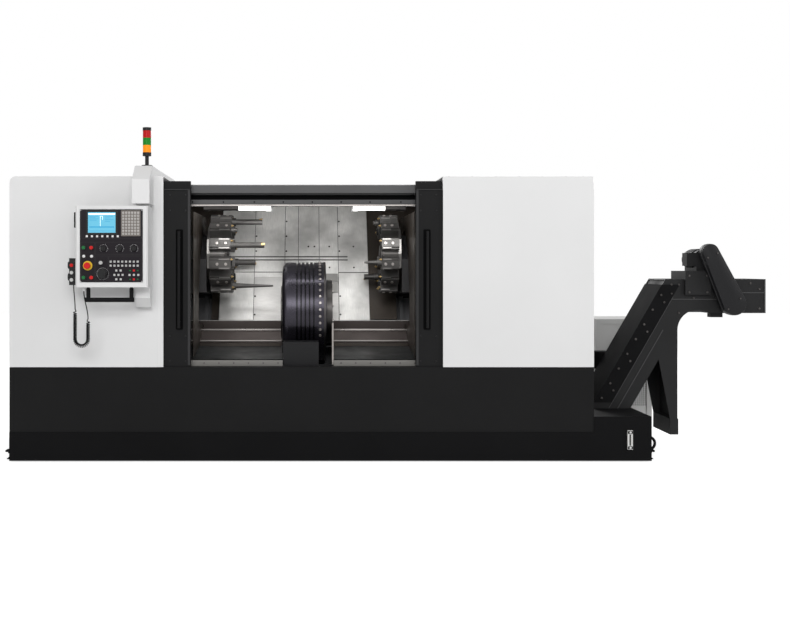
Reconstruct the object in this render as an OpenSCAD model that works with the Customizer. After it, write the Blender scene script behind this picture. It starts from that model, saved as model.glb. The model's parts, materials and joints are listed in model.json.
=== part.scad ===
/* [Enclosure] */
// Length of the base along the bed
base_w = 3715; // [3400:5:4200]
// Depth of the base from front to back
base_depth = 1600; // [1500:5:1700]
// Height of the base's top rim above the floor
base_top = 603; // [580:1:640]
// Height of the plinth that holds the coolant
tank_top = 190; // [160:1:220]
// Length of the conveyor bay beyond the base
bay_w = 365; // [340:5:400]
// Height of the conveyor bay's deck
bay_top = 289; // [260:1:310]
// Depth of the conveyor bay
bay_depth = 1000; // [900:5:1080]
// Height of the covers' roof above the floor
cover_top = 1816; // [1800:1:1900]
// Width of the left cover
left_cover_w = 978; // [940:1:1000]
// Width of the right cover
right_cover_w = 959; // [920:1:1000]
// Thickness of the cover sheet
sheet = 4; // [3:0.5:6]
// Radius of the left cover's top corner
cover_corner_r = 40; // [10:1:60]
// Step of the right cover's front fascia
fascia_step = 12; // [6:1:20]

/* [Doors] */
// Width of each sliding door
door_w = 946; // [900:1:980]
// Width of the door that shows when it is open
door_stile = 170; // [140:1:200]
// Thickness of a door
door_t = 50; // [40:1:60]
// Height of a door
door_h = 1184; // [1100:1:1190]
// Length of a door's pull handle
pull_h = 616; // [400:1:800]
// Width of a pull handle
pull_w = 19; // [14:1:30]

/* [Spindle and turrets] */
// Distance of the spindle axis behind the front sheet
spindle_y = 600; // [560:1:640]
// Height of the spindle axis
spindle_z = 930; // [900:1:960]
// Outer radius of the drum
drum_r = 340; // [320:1:350]
// Shift of the drum from the middle of the door opening
drum_shift = 6; // [-20:1:20]
// Length of the drum
drum_w = 294; // [250:1:310]
// Radius of the bore through the spindle
spindle_bore_r = 110; // [80:1:130]
// Outer radius of the spindle
spindle_r = 180; // [170:1:190]
// Slant of the bed
slant = 60; // [58:1:62]
// Distance of the turret axes from the spindle axis at rest
turret_out = 462; // [450:1:480]
// Radius across the turret disc's flats
turret_r = 195; // [180:1:200]
// Number of turret stations
stations = 12; // [8:1:12]
// Distance of the left turret disc from the left cover
left_disc_in = 220; // [212:1:232]
// Thickness of the left turret disc
left_disc_w = 120; // [100:1:130]
// Distance of the right turret disc's left face from the right cover
right_disc_in = 328; // [316:1:336]
// Thickness of the right turret disc
right_disc_w = 120; // [100:1:130]
// Radius of a turret's tool sockets
socket_r = 20; // [16:1:22]

/* [Pendant] */
// Width of the pendant case
pendant_w = 445; // [400:1:480]
// Height of the pendant case
pendant_h = 500; // [460:1:540]
// Depth of the pendant case
pendant_d = 110; // [90:1:120]
// Distance of the pendant case's left side from its arm
pendant_reach = 344; // [330:1:370]
// Height of the pendant's underside
pendant_z = 1115; // [1090:1:1116]
// Width of the dark front panel
panel_w = 386; // [360:1:390]
// Height of the dark front panel
panel_h = 448; // [430:1:455]

/* [Conveyor] */
// Front plate of the conveyor behind the front sheet
conveyor_y = 400; // [380:1:420]
// Width of the conveyor over its side plates
conveyor_w = 360; // [320:1:380]
// Angle of the incline
incline = 60; // [58:1:62]
// Thickness of the incline across its plates
incline_t = 230; // [220:1:240]
// Distance of the conveyor's upper bend beyond the base
head_reach = 585; // [575:1:595]
// Top of the drive head
head_top = 1157; // [1140:1:1170]
// Distance of the chute's right end beyond the base
chute_reach = 1258; // [1185:1:1285]
// Underside of the chute
chute_z = 929; // [915:1:940]

/* [Hidden] */
$fn = 48;
overrun = 5;
clearance = 0.3;
running = 0.05;

// Levelling feet
foot_reach = 50;
foot_pad_r = 24;
foot_pad_h = 14;
foot_screw_r = 8;
foot_screw_h = 130;
foot_plate_t = 12;
foot_plate_w = 60;
foot_lug_z = 60;
foot_nut_r = 15;
foot_nut_h = 12;
foot_inset = 120;
plinth_gap = 8;

// Places that several pieces share
right_cover_x = base_w - right_cover_w;
tank_w = base_w + bay_w;
head_x = base_w + head_reach;
chute_right = base_w + chute_reach;
drum_x = (left_cover_w + right_cover_x - drum_w) / 2 + drum_shift;
left_disc_x = left_cover_w + left_disc_in;
right_disc_x = right_cover_x - right_disc_in;
arm_in = 168;
arm_x = left_cover_w - arm_in;
pendant_x = arm_x - pendant_reach;
door_gap = 14;
beam_gap = 12;
door_y = sheet + door_gap;
door_back = door_y + door_t;
left_door_x = left_cover_w + door_stile - door_w;
right_door_x = right_cover_x - door_stile;
door_z = base_top + clearance;
beam_y = door_back + beam_gap;
beam_d = 80;
beam_top = 1766;
beam_h = 51;
slant_u = [cos(slant), sin(slant)];
slant_n = [-sin(slant), cos(slant)];
turret_y = spindle_y + turret_out * slant_u[0];
turret_z = spindle_z + turret_out * slant_u[1];

// Pendant depths, out to the tip of the handwheel's grip
pendant_back = -120;
pendant_front = pendant_back - pendant_d;
panel_t = 4;
wheel_reach = 60;

// Middle of the whole machine, which becomes the origin
front_y = pendant_front - panel_t - wheel_reach;
centre_x = (chute_right - foot_reach) / 2;
centre_y = (base_depth + front_y) / 2;

// Moves the machine's left front corner so that the origin is under its middle
module placed() {
    translate([-centre_x, -centre_y, 0]) children();
}

// Extrudes a side profile of [depth, height] points along the bed
module along_x(x, length) {
    translate([x, 0, 0]) rotate([90, 0, 90]) linear_extrude(length) children();
}

// Extrudes a front profile of [length, height] points backwards from y
module backwards(y, depth) {
    translate([0, y + depth, 0]) rotate([90, 0, 0]) linear_extrude(depth) children();
}

// A cylinder that runs along the bed
module rod_x(x, y, z, r, length) {
    translate([x, y, z]) rotate([0, 90, 0]) cylinder(r = r, h = length);
}

// A cylinder that runs backwards
module rod_y(x, y, z, r, length) {
    translate([x, y, z]) rotate([-90, 0, 0]) cylinder(r = r, h = length);
}

// A box from two corners
module block(low, high) {
    translate(low) cube(high - low);
}

// A side-profile point at a distance along the slant and out from it, seen from the turret axis
function on_slant(along, out) = [
    turret_y + along * slant_u[0] + out * slant_n[0],
    turret_z + along * slant_u[1] + out * slant_n[1]
];

// Turns a box given in slant coordinates (along, out) into a solid along the bed
module slant_block(x, length, along, out) {
    along_x(x, length) polygon([
        on_slant(along[0], out[0]),
        on_slant(along[1], out[0]),
        on_slant(along[1], out[1]),
        on_slant(along[0], out[1])
    ]);
}

// A front outline with its top left corner rounded
module round_corner_sheet(w, low, high, r) {
    translate([r, low]) square([w - r, high - low]);
    translate([0, low]) square([w, high - low - r]);
    translate([r, high - r]) circle(r);
}

// Slant bed: distances out from the turret axis and along the slant
way_out = -480;
way_low = -450;
way_high = 380;
rail_h = 30;
rail_w = 40;
rail_low = -330;
rail_high = 250;
rail_end = 30;
bed_x = 250;
bed_w = base_w - 2 * bed_x;
bed_front = 420;
bed_shelf = 520;
bed_ledge = 60;
bed_gap = 80;
bed_back = base_depth - sheet - bed_gap;

module bed() {
    color("dimgray") placed() {
        along_x(bed_x, bed_w) polygon([
            [bed_front, tank_top],
            [bed_back, tank_top],
            [bed_back, on_slant(way_high, way_out)[1]],
            on_slant(way_high, way_out),
            on_slant(way_low, way_out),
            [bed_front + bed_ledge, bed_shelf],
            [bed_front, bed_shelf]
        ]);
        for (along = [rail_low, rail_high], span = [
            [bed_x, drum_x - rail_end],
            [drum_x + drum_w + rail_end, bed_x + bed_w]
        ])
            slant_block(span[0], span[1] - span[0], [along, along + rail_w], [way_out, way_out + rail_h]);
    }
}

// Base with its rolled top rim
rim_w = 70;
rim_front = 170;

module base_cover() {
    color("#26272a") placed() difference() {
        block([0, 0, tank_top], [base_w, base_depth, base_top]);
        block([sheet, sheet, tank_top - overrun], [base_w - sheet, base_depth - sheet, base_top - sheet]);
        block([rim_w, rim_front, base_top - sheet - overrun],
              [base_w - rim_w, base_depth - rim_w, base_top + overrun]);
    }
}

// Coolant plinth: a closed tray with a raised bay where the conveyor dips in
plinth_proud = 6;
tray_wall = 6;
mouth_gap = 3;

module coolant_tank() {
    color("#1d1e20") placed() difference() {
        union() {
            block([0, -plinth_proud, plinth_gap], [base_w, base_depth, tank_top]);
            block([base_w - tray_wall, -plinth_proud, plinth_gap], [tank_w, bay_depth, tank_top]);
            block([base_w, -plinth_proud, plinth_gap], [tank_w, bay_depth, bay_top]);
        }
        block([tray_wall, tray_wall, plinth_gap + tray_wall],
              [base_w, bed_front - tray_wall, tank_top - tray_wall]);
        block([base_w - overrun, tray_wall, plinth_gap + tray_wall],
              [tank_w - tray_wall, bay_depth - tray_wall, bay_top - tray_wall]);
        block([base_w + tray_wall, conveyor_y - mouth_gap, bay_top - tray_wall - overrun],
              [tank_w - tray_wall, conveyor_y + conveyor_w + mouth_gap, bay_top + overrun]);
    }
}

// One foot at the end of the plinth: lug, screw, nut and pad
module foot(x, y, side, lug_top) {
    translate([x, y, 0]) mirror([side, 0, 0]) {
        translate([0, -foot_plate_w / 2, lug_top - foot_plate_t])
            cube([foot_reach, foot_plate_w, foot_plate_t]);
        translate([foot_reach - foot_pad_r, 0, 0]) {
            cylinder(r1 = foot_pad_r, r2 = foot_screw_r, h = foot_pad_h);
            cylinder(r = foot_screw_r, h = foot_screw_h);
            translate([0, 0, lug_top - foot_plate_t - foot_nut_h])
                cylinder(r = foot_nut_r, h = foot_nut_h, $fn = 6);
        }
    }
}

module levelling_feet() {
    color("#3a3a3c") placed() {
        for (y = [foot_inset, base_depth - foot_inset]) foot(0, y, 1, foot_lug_z);
        for (y = [foot_inset, bay_depth - foot_inset]) foot(tank_w, y, 0, foot_lug_z);
        foot(base_w, base_depth - foot_inset, 0, foot_lug_z);
    }
}

// Left cover: a folded sheet with one rounded corner, open towards the doors
cover_depth = base_depth;
hem = 38;
hem_step = 2;

// Service doors in the sheets: a seam round each, a latch cup and a bank of louvres
hatch_low = 60;
hatch_drop = 130;
hatch_h = cover_top - hatch_drop - base_top - hatch_low;
end_hatch_y = 420;
end_hatch_w = 760;
rear_hatch_count = 4;
rear_hatch_side = 190;
rear_hatch_gap = 30;
rear_hatch_w = (base_w - 2 * rear_hatch_side - (rear_hatch_count - 1) * rear_hatch_gap) / rear_hatch_count;
seam_w = 5;
seam_share = 0.5;
seam_d = seam_share * sheet;
latch_r = 22;
latch_in = 70;
louvre_w = 260;
louvre_h = 9;
louvre_step = 27;
louvre_count = 9;
louvre_rise = 150;

module seam(wide) {
    difference() {
        square([wide, hatch_h]);
        translate([seam_w, seam_w]) square([wide - 2 * seam_w, hatch_h - 2 * seam_w]);
    }
    translate([latch_in, hatch_h / 2]) circle(latch_r);
}

module louvres(size) {
    for (i = [0 : louvre_count - 1]) translate([0, 0, louvre_step * i]) cube([size[0], size[1], louvre_h]);
}

module end_hatch(seam_x, louvre_x) {
    along_x(seam_x, seam_d + overrun) translate([end_hatch_y, base_top + hatch_low]) seam(end_hatch_w);
    translate([louvre_x, end_hatch_y + (end_hatch_w - louvre_w) / 2, base_top + louvre_rise])
        louvres([sheet + 2 * overrun, louvre_w]);
}

module left_cover() {
    color("#f2f2f2") placed() difference() {
        backwards(0, cover_depth) round_corner_sheet(left_cover_w, base_top, cover_top, cover_corner_r);
        translate([sheet, 0, 0]) backwards(sheet, cover_depth)
            round_corner_sheet(left_cover_w + overrun, base_top - overrun, cover_top - sheet,
                               cover_corner_r - sheet);
        block([left_cover_w - hem, -overrun, base_top - overrun],
              [left_cover_w + overrun, hem_step, cover_top - hem]);
        end_hatch(-overrun, -overrun);
    }
}

// Right cover: its front fascia steps back twice under the roof
fascia_low = 1732;
fascia_high = 1778;

module right_cover_side(grow, floor_z) {
    polygon([
        [grow, floor_z],
        [grow, fascia_low - grow],
        [fascia_step + grow, fascia_low - grow],
        [fascia_step + grow, fascia_high - grow],
        [2 * fascia_step + grow, fascia_high - grow],
        [2 * fascia_step + grow, cover_top - grow],
        [cover_depth + grow, cover_top - grow],
        [cover_depth + grow, floor_z]
    ]);
}

module right_cover() {
    color("#f2f2f2") placed() difference() {
        along_x(right_cover_x, right_cover_w) right_cover_side(0, base_top);
        along_x(right_cover_x - overrun, right_cover_w - sheet + overrun)
            right_cover_side(sheet, base_top - overrun);
        end_hatch(base_w - seam_d, base_w - sheet - overrun);
    }
}

// Roof over the chamber and the back sheet, folded from one piece
roof_back = cover_top - sheet;

module rear_cover() {
    color("#e4e4e4") placed() {
        along_x(left_cover_w, right_cover_x - left_cover_w) polygon([
            [beam_y, beam_top],
            [beam_y, beam_top + sheet],
            [base_depth - sheet, roof_back],
            [base_depth - sheet, roof_back - sheet],
            [beam_y + beam_d, beam_top]
        ]);
        difference() {
            translate([sheet, 0, 0]) backwards(base_depth - sheet, sheet)
                round_corner_sheet(base_w - 2 * sheet, base_top, roof_back, cover_corner_r - sheet);
            for (i = [0 : rear_hatch_count - 1])
                translate([rear_hatch_side + (rear_hatch_w + rear_hatch_gap) * i, 0, base_top]) {
                    translate([0, 0, hatch_low]) backwards(base_depth - seam_d, seam_d + overrun)
                        seam(rear_hatch_w);
                    translate([(rear_hatch_w - louvre_w) / 2, base_depth - sheet - overrun, louvre_rise])
                        louvres([louvre_w, sheet + 2 * overrun]);
                }
        }
    }
}

// Door track across the opening, with its groove and its lower lip
track_d = 14;
lip_z = 1632;
lip_h = 12;
lip_d = 24;
web_d = 20;

module top_beam() {
    color("#4a4b4d") placed() {
        difference() {
            block([left_cover_w - hem, beam_y, beam_top - beam_h],
                  [right_cover_x + hem, beam_y + beam_d, beam_top]);
            block([left_cover_w - hem - overrun, beam_y + web_d, beam_top - beam_h - overrun],
                  [right_cover_x + hem + overrun, beam_y + beam_d - web_d, beam_top - track_d]);
        }
        block([left_cover_w - hem, beam_y + beam_d - web_d, lip_z],
              [right_cover_x + hem, beam_y + beam_d, beam_top - beam_h + track_d]);
        block([left_cover_w - hem, beam_y + beam_d - web_d - lip_d, lip_z],
              [right_cover_x + hem, beam_y + beam_d - web_d, lip_z + lip_h]);
        for (x = [left_cover_w - hem, right_cover_x])
            block([x, beam_y + beam_d - web_d, base_top],
                  [x + hem, beam_y + beam_d, lip_z]);
    }
}

// Side outlines of the headstock: its pedestal on the bed, and the drum with it, grown by a gap
pedestal_low = -430;
pedestal_high = -60;
pedestal_share = 0.75;

module pedestal_side(grow) {
    polygon([
        [spindle_y, spindle_z - pedestal_share * drum_r - grow],
        on_slant(pedestal_low - grow, way_out),
        on_slant(pedestal_high + grow, way_out),
        [spindle_y, spindle_z + pedestal_share * drum_r + grow]
    ]);
}

module headstock_side(grow) {
    translate([spindle_y, spindle_z]) circle(drum_r + grow);
    pedestal_side(grow);
}

// Chamber lining: back sheet, two ledges, chip pan and sill, folded along the bed
liner_left_in = 282;
liner_right_in = 411;
liner_x = left_cover_w + liner_left_in;
liner_right = right_cover_x - liner_right_in;
liner_out = -300;
liner_high = 600;
liner_low = -375;
liner_t = 4;
ledge_d = 50;
ledge_h = 30;
ledge_rise = 70;
pan_back = 600;
pan_z = 693;
pan_front = 195;
pan_low = 637;
pan_post = 40;
sill_y = 84;
sill_d = 60;
sill_z = 640;
sill_t = 4;
liner_gap = 2;

function pan_at(y) = pan_low + (pan_z - pan_low) * (y - pan_front) / (pan_back - pan_front);

function ledge_points(low) = [
    [pan_front, pan_low],
    [pan_back, pan_z],
    [pan_back + ledge_d, pan_z + ledge_h],
    [pan_back + 2 * ledge_d, pan_z + ledge_h],
    [pan_back + 3 * ledge_d, pan_z + ledge_h + ledge_rise],
    [low[0], pan_z + ledge_h + ledge_rise]
];

function folded(points, shift) = concat(points, [
    for (i = [len(points) - 1 : -1 : 0]) points[i] + shift
]);

module chamber_liner() {
    low = on_slant(liner_low, liner_out);
    high = on_slant(liner_high, liner_out);
    color("#b9b9bb") placed() {
        difference() {
            along_x(liner_x, liner_right - liner_x) polygon(folded([low, high], [liner_t, 0]));
            along_x(drum_x - liner_gap, drum_w + 2 * liner_gap) headstock_side(liner_gap);
        }
        difference() {
            along_x(left_cover_w, right_cover_x - left_cover_w)
                polygon(folded(concat(ledge_points(low), [low]), [liner_t, -liner_t]));
            along_x(drum_x - liner_gap, drum_w + 2 * liner_gap) headstock_side(liner_gap);
            block([guard_x - liner_gap, 0, base_top], [guard_x + guard_w + liner_gap, pan_back, guard_z]);
            rod_x(drum_x + drum_w, spindle_y, spindle_z, flange_r + flange_gap, flange_w + 2 * flange_gap);
        }
        for (x = [left_cover_w, right_cover_x - pan_post])
            block([x, bed_front, bed_shelf], [x + pan_post, bed_front + pan_post, pan_at(bed_front)]);
        for (span = [[left_cover_w, guard_x - liner_gap], [guard_x + guard_w + liner_gap, right_cover_x]]) {
            block([span[0], sill_y, base_top], [span[1], sill_y + sill_t, sill_z]);
            block([span[0], sill_y, base_top], [span[1], sill_y + sill_d, base_top + sill_t]);
        }
    }
}

// Work lamps: tubes with end caps, each on a bracket under the door track
lamp_r = 22;
lamp_drop = -2;
left_lamp_in = [242, 677];
right_lamp_in = [563, 223];
left_lamp = [left_cover_w + left_lamp_in[0], left_cover_w + left_lamp_in[1]];
right_lamp = [right_cover_x - right_lamp_in[0], right_cover_x - right_lamp_in[1]];
lamp_cap = 30;
lamp_cap_r = 26;
lamp_hanger = 16;
lamp_y = beam_y + beam_d + lamp_cap_r;
lamp_z = lip_z + lamp_drop;

module lamp(span) {
    rod_x(span[0], lamp_y, lamp_z, lamp_r, span[1] - span[0]);
    for (x = [span[0], span[1] - lamp_cap]) {
        rod_x(x, lamp_y, lamp_z, lamp_cap_r, lamp_cap);
        block([x, beam_y + beam_d, lamp_z], [x + lamp_hanger, lamp_y, lamp_z + lamp_cap_r]);
    }
}

module work_lamps() {
    color("#f7f7f2") placed() {
        lamp(left_lamp);
        lamp(right_lamp);
    }
}

// Arm that lies on the left cover and hangs over its front edge
arm_w = 108;
arm_front = -200;
arm_low = 1632;
arm_bevel_z = 1783;
arm_bevel_y = -80;
arm_top = 1876;
arm_back = 1150;
swivel_x = arm_x + arm_w / 2;
swivel_y = -75;
swivel_r = 25;
swivel_h = 60;

module signal_arm() {
    color("#ececec") placed() difference() {
        along_x(arm_x, arm_w) polygon([
            [arm_front, arm_low],
            [arm_front, arm_bevel_z],
            [arm_bevel_y, arm_top],
            [arm_back, arm_top],
            [arm_back, cover_top],
            [0, cover_top],
            [0, arm_low]
        ]);
        translate([swivel_x, swivel_y, arm_low - overrun])
            cylinder(r = swivel_r + running, h = swivel_h + overrun);
    }
}

// Signal tower
tower_r = 27;
tower_in = 98;
tower_x = left_cover_w - tower_in;
tower_y = -40;
tower_foot_r = 34;
tower_foot_h = 6;
tower_pole_r = 12;
tower_pole_h = 58;
tower_base_h = 22;
lens_h = 46;
lens_r = 26;
cap_h = 20;
tower_neck_r = 18;
tower_base_z = arm_top + tower_foot_h + tower_pole_h;
lens_z = tower_base_z + tower_base_h;
tower_top = lens_z + 3 * lens_h;

module tower_stand() {
    color("#2a2224") placed() translate([tower_x, tower_y, 0]) {
        translate([0, 0, arm_top]) cylinder(r = tower_foot_r, h = tower_foot_h);
        translate([0, 0, arm_top]) cylinder(r = tower_pole_r, h = tower_foot_h + tower_pole_h);
        translate([0, 0, tower_base_z]) cylinder(r = tower_r, h = tower_base_h);
        translate([0, 0, lens_z]) cylinder(r = tower_neck_r, h = tower_top - lens_z);
        translate([0, 0, tower_top]) cylinder(r = tower_r, h = cap_h);
    }
}

// One lens ring of the tower, counted from the lowest
module lens(place, tint) {
    color(tint) placed() translate([tower_x, tower_y, lens_z + place * lens_h]) difference() {
        cylinder(r = lens_r, h = lens_h);
        translate([0, 0, -overrun]) cylinder(r = tower_neck_r, h = lens_h + 2 * overrun);
    }
}

module lens_amber() {
    lens(0, "orange");
}

module lens_green() {
    lens(1, "green");
}

module lens_red() {
    lens(2, "red");
}

// Headstock: a turned drum with cooling grooves and a rounded left edge
drum_round = 40;
groove_w = 10;
groove_d = 12;
groove_first = 94;
groove_step = 28;
groove_count = 5;
pedestal_inset = 14;
round_steps = 6;
round_turn = 90;

module drum_section() {
    polygon(concat(
        [[0, 0]],
        [for (i = [0 : round_steps]) [
            drum_r - drum_round + drum_round * sin(round_turn * i / round_steps),
            drum_round - drum_round * cos(round_turn * i / round_steps)
        ]],
        [for (i = [0 : groove_count - 1], corner = [[0, 0], [1, 0], [1, 1], [0, 1]]) [
            drum_r - groove_d * corner[0],
            groove_first + groove_step * i + groove_w * corner[1]
        ]],
        [[drum_r, drum_w], [0, drum_w]]
    ));
}

module headstock() {
    color("#55535c") placed() difference() {
        union() {
            translate([drum_x, spindle_y, spindle_z]) rotate([0, 90, 0])
                rotate_extrude($fn = 96) drum_section();
            along_x(drum_x + pedestal_inset, drum_w - 2 * pedestal_inset) difference() {
                pedestal_side(0);
                translate([spindle_y, spindle_z]) circle(drum_r - drum_round);
            }
        }
        rod_x(drum_x - overrun, spindle_y, spindle_z, spindle_r + running, drum_w + 2 * overrun);
    }
}

// Black guard under the drum's front, folded from sheet, with its right end plate
guard_in = 10;
guard_x = drum_x + guard_in;
guard_w = 326;
guard_y = 120;
guard_front_w = 231;
guard_z = 754;
guard_plate_z = 880;
guard_plate_d = 160;
guard_lip = 40;
guard_t = 4;

module drum_guard() {
    color("#1b1b20") placed() {
        block([guard_x, guard_y, base_top], [guard_x + guard_front_w, guard_y + guard_t, guard_z]);
        block([guard_x, guard_y, guard_z - guard_t],
              [guard_x + guard_front_w, spindle_y - drum_r + guard_lip, guard_z]);
        block([guard_x, guard_y, base_top],
              [guard_x + guard_w, guard_y + guard_lip, base_top + guard_t]);
        block([guard_x + guard_w - guard_t, guard_y, base_top],
              [guard_x + guard_w, guard_y + guard_plate_d, guard_plate_z]);
    }
}

// Spindle: a through-bored sleeve with a face flange at its right end
nose = 10;
flange_r = 220;
flange_w = 40;
flange_gap = 4;

module spindle() {
    length = nose + drum_w + flange_gap + flange_w;
    color("#8d8d92") placed() difference() {
        union() {
            rod_x(drum_x - nose, spindle_y, spindle_z, spindle_r, length);
            rod_x(drum_x + drum_w + flange_gap, spindle_y, spindle_z, flange_r, flange_w);
        }
        rod_x(drum_x - nose - overrun, spindle_y, spindle_z, spindle_bore_r, length + 2 * overrun);
    }
}

// Conveyor: the incline's edges at a height, and the outline of its side plates
plate = 6;
tail_x = base_w + 2 * tray_wall;
tail_z = plinth_gap + tray_wall;
arch_in = 217;
arch_x = head_x + arch_in;
arch_z = 815;
arch_r = 136;
leg_right = arch_x - arch_r;
leg_foot = 50;
leg_top = 618;
leg_z = 219;
foot_block_z = 113;
foot_block_w = 56;
shaft_in = 458;
shaft_x = head_x + shaft_in;
shaft_z = 994;
chute_mouth = 180;
rest_block = [82, 60, 30];
rest_block_in = [317, 40];
rest_block_x = head_x + rest_block_in[0];
rest_block_y = conveyor_y + rest_block_in[1];

function upper_edge(z) = head_x - (head_top - z) / tan(incline);
function lower_edge(z, inset) = upper_edge(z) + (incline_t - inset) / sin(incline);
arch_end = sqrt(arch_r * arch_r - (chute_z - arch_z) * (chute_z - arch_z));

module conveyor_outline() {
    difference() {
        polygon([
            [tail_x, head_top - (head_x - tail_x) * tan(incline)],
            [head_x, head_top],
            [chute_right, head_top],
            [chute_right, chute_z],
            [arch_x + arch_end, chute_z],
            [arch_x + arch_end, arch_z],
            [leg_right, arch_z],
            [leg_right, leg_z],
            [leg_right - leg_foot, leg_z],
            [lower_edge(leg_top, 0), leg_top],
            [lower_edge(tail_z, 0), tail_z],
            [tail_x, tail_z]
        ]);
        translate([arch_x, arch_z]) circle(arch_r);
    }
}

// Space between the side plates, for the belt
module conveyor_cavity(inset, lift) {
    low = tail_z + inset;
    polygon([
        [tail_x + inset, low],
        [tail_x + inset, head_top - (head_x - tail_x - inset) * tan(incline) + lift],
        [upper_edge(head_top - inset) - lift, head_top - inset],
        [chute_right - inset, head_top - inset],
        [chute_right - inset, chute_z + inset],
        [lower_edge(chute_z + inset, inset), chute_z + inset],
        [lower_edge(low, inset), low]
    ]);
}

module conveyor_trough() {
    color("#232427") placed() {
        difference() {
            backwards(conveyor_y, conveyor_w) conveyor_outline();
            backwards(conveyor_y + plate, conveyor_w - 2 * plate) conveyor_cavity(plate, overrun);
            backwards(conveyor_y + plate, conveyor_w - 2 * plate) polygon([
                [lower_edge(tail_z - overrun, 0), tail_z - overrun],
                [lower_edge(chute_z, 0), chute_z],
                [chute_right + overrun, chute_z],
                [chute_right + overrun, tail_z - overrun]
            ]);
            block([chute_right - plate - chute_mouth, conveyor_y + plate, chute_z - overrun],
                  [chute_right - plate, conveyor_y + conveyor_w - plate, chute_z + plate + overrun]);
        }
        block([leg_right - plate, conveyor_y, leg_z], [leg_right, conveyor_y + conveyor_w, arch_z]);
        block([leg_right - leg_foot, conveyor_y, foot_block_z],
              [leg_right - leg_foot + foot_block_w, conveyor_y + conveyor_w, leg_z]);
        translate([rest_block_x, rest_block_y, chute_z - rest_block[2]]) cube(rest_block);
    }
}

// Bolted cover: a lid along the incline with a flange down each side plate
lid_t = 4;
lid_flange = 100;
lid_low = 330;
lid_high = 1120;
lid_bolt_r = 7;
lid_bolt_h = 4;
lid_bolts = 8;
lid_bolt_share = 0.3;

module lid_band(inner, outer) {
    polygon([
        [upper_edge(lid_low) + inner / sin(incline), lid_low],
        [upper_edge(lid_high) + inner / sin(incline), lid_high],
        [upper_edge(lid_high) + outer / sin(incline), lid_high],
        [upper_edge(lid_low) + outer / sin(incline), lid_low]
    ]);
}

module conveyor_cover() {
    rise = (lid_high - lid_low) / lid_bolts;
    color("#2b2c2f") placed() {
        backwards(conveyor_y - lid_t, conveyor_w + 2 * lid_t) lid_band(-lid_t, 0);
        for (y = [conveyor_y - lid_t, conveyor_y + conveyor_w])
            backwards(y, lid_t) lid_band(-lid_t, lid_flange);
        for (i = [0 : lid_bolts - 1]) {
            z = lid_low + rise * (i + lid_bolt_share);
            rod_y(upper_edge(z) + lid_bolt_share * lid_flange, conveyor_y - lid_t - lid_bolt_h, z,
                  lid_bolt_r, lid_bolt_h);
        }
    }
}

// Hinged belt: a closed loop inside the trough, round the head shaft
belt_t = 20;
belt_turn = 70;

module belt_loop(inset) {
    low = tail_z + inset;
    polygon([
        [tail_x + inset, low],
        [tail_x + inset, head_top - (head_x - tail_x - inset) * tan(incline) - inset / cos(incline)],
        [upper_edge(head_top - inset) + inset / sin(incline), head_top - inset],
        [shaft_x + belt_turn - inset, head_top - inset],
        [shaft_x + belt_turn - inset, chute_z + inset],
        [lower_edge(chute_z + inset, inset), chute_z + inset],
        [lower_edge(low, inset), low]
    ]);
}

module conveyor_belt() {
    gap = plate + clearance;
    color("#6a6a6c") placed() backwards(conveyor_y + gap, conveyor_w - 2 * gap) difference() {
        belt_loop(gap);
        belt_loop(gap + belt_t);
    }
}

// Gearmotor on its bracket over the drive head
mount_in = 124;
mount_x = head_x + mount_in;
mount_w = 172;
mount_low = 1053;
mount_top = 1198;
mount_d = 30;
mount_back = 260;
shelf_t = 14;
motor_in = 260;
motor_x = head_x + motor_in;
motor_z = 1290;
motor_r = 66;
motor_front = 20;
motor_d = 230;
fin_r = 72;
fin_t = 8;
fin_step = 18;
fin_count = 8;
fin_first = 60;
box_w = 44;
box_h = 88;
box_d = 90;
motor_foot_w = 90;
motor_shaft_r = 16;

module gearmotor() {
    color("#2f3033") placed() {
        block([mount_x, conveyor_y - mount_d, mount_low], [mount_x + mount_w, conveyor_y, mount_top]);
        block([mount_x, conveyor_y - mount_d, head_top],
              [mount_x + mount_w, conveyor_y + mount_back, mount_top + shelf_t]);
        block([motor_x - motor_foot_w / 2, conveyor_y + motor_front, mount_top],
              [motor_x + motor_foot_w / 2, conveyor_y + motor_front + motor_d, motor_z]);
        rod_y(motor_x, conveyor_y + motor_front, motor_z, motor_r, motor_d);
        rod_y(motor_x, conveyor_y - mount_d, motor_z, motor_shaft_r, motor_d);
        for (i = [0 : fin_count - 1])
            rod_y(motor_x, conveyor_y + motor_front + fin_first + fin_step * i, motor_z, fin_r, fin_t);
        block([motor_x - motor_r - box_w, conveyor_y + motor_front, motor_z - box_h / 2],
              [motor_x, conveyor_y + motor_front + box_d, motor_z + box_h / 2]);
    }
}

// Chain guard: a closed obround case over the drive chain, slanted down to the head shaft
guard_case_r = 63;
guard_case_d = 80;
guard_case_tuck = 1;
guard_boss_r = 40;

module chain_guard() {
    run = [shaft_x - motor_x, shaft_z - motor_z];
    span = norm(run);
    color("#292a2d") placed() {
        backwards(conveyor_y - mount_d - guard_case_d, guard_case_d) {
            translate([motor_x, motor_z]) circle(guard_case_r);
            translate([shaft_x, shaft_z]) circle(guard_case_r);
            translate([motor_x, motor_z]) rotate(atan2(run[1], run[0]))
                translate([0, guard_case_tuck - guard_case_r])
                    square([span, 2 * (guard_case_r - guard_case_tuck)]);
        }
        rod_y(shaft_x, conveyor_y - mount_d, shaft_z, guard_boss_r, mount_d);
    }
}

// Cooler cabinet behind the conveyor
cabinet_in = 277;
cabinet_x = base_w + cabinet_in;
cabinet_w = 406;
cabinet_d = 480;
cabinet_top = 859;
cabinet_foot = 40;
cabinet_foot_w = 60;
panel_inset = 36;
panel_recess = 6;
slot_w = 64;
slot_h = 6;
slot_step = 14;
slot_count = 6;
slot_d = 4;
upper_slots = [90, 620];
lower_slots = [300, 440];

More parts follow.
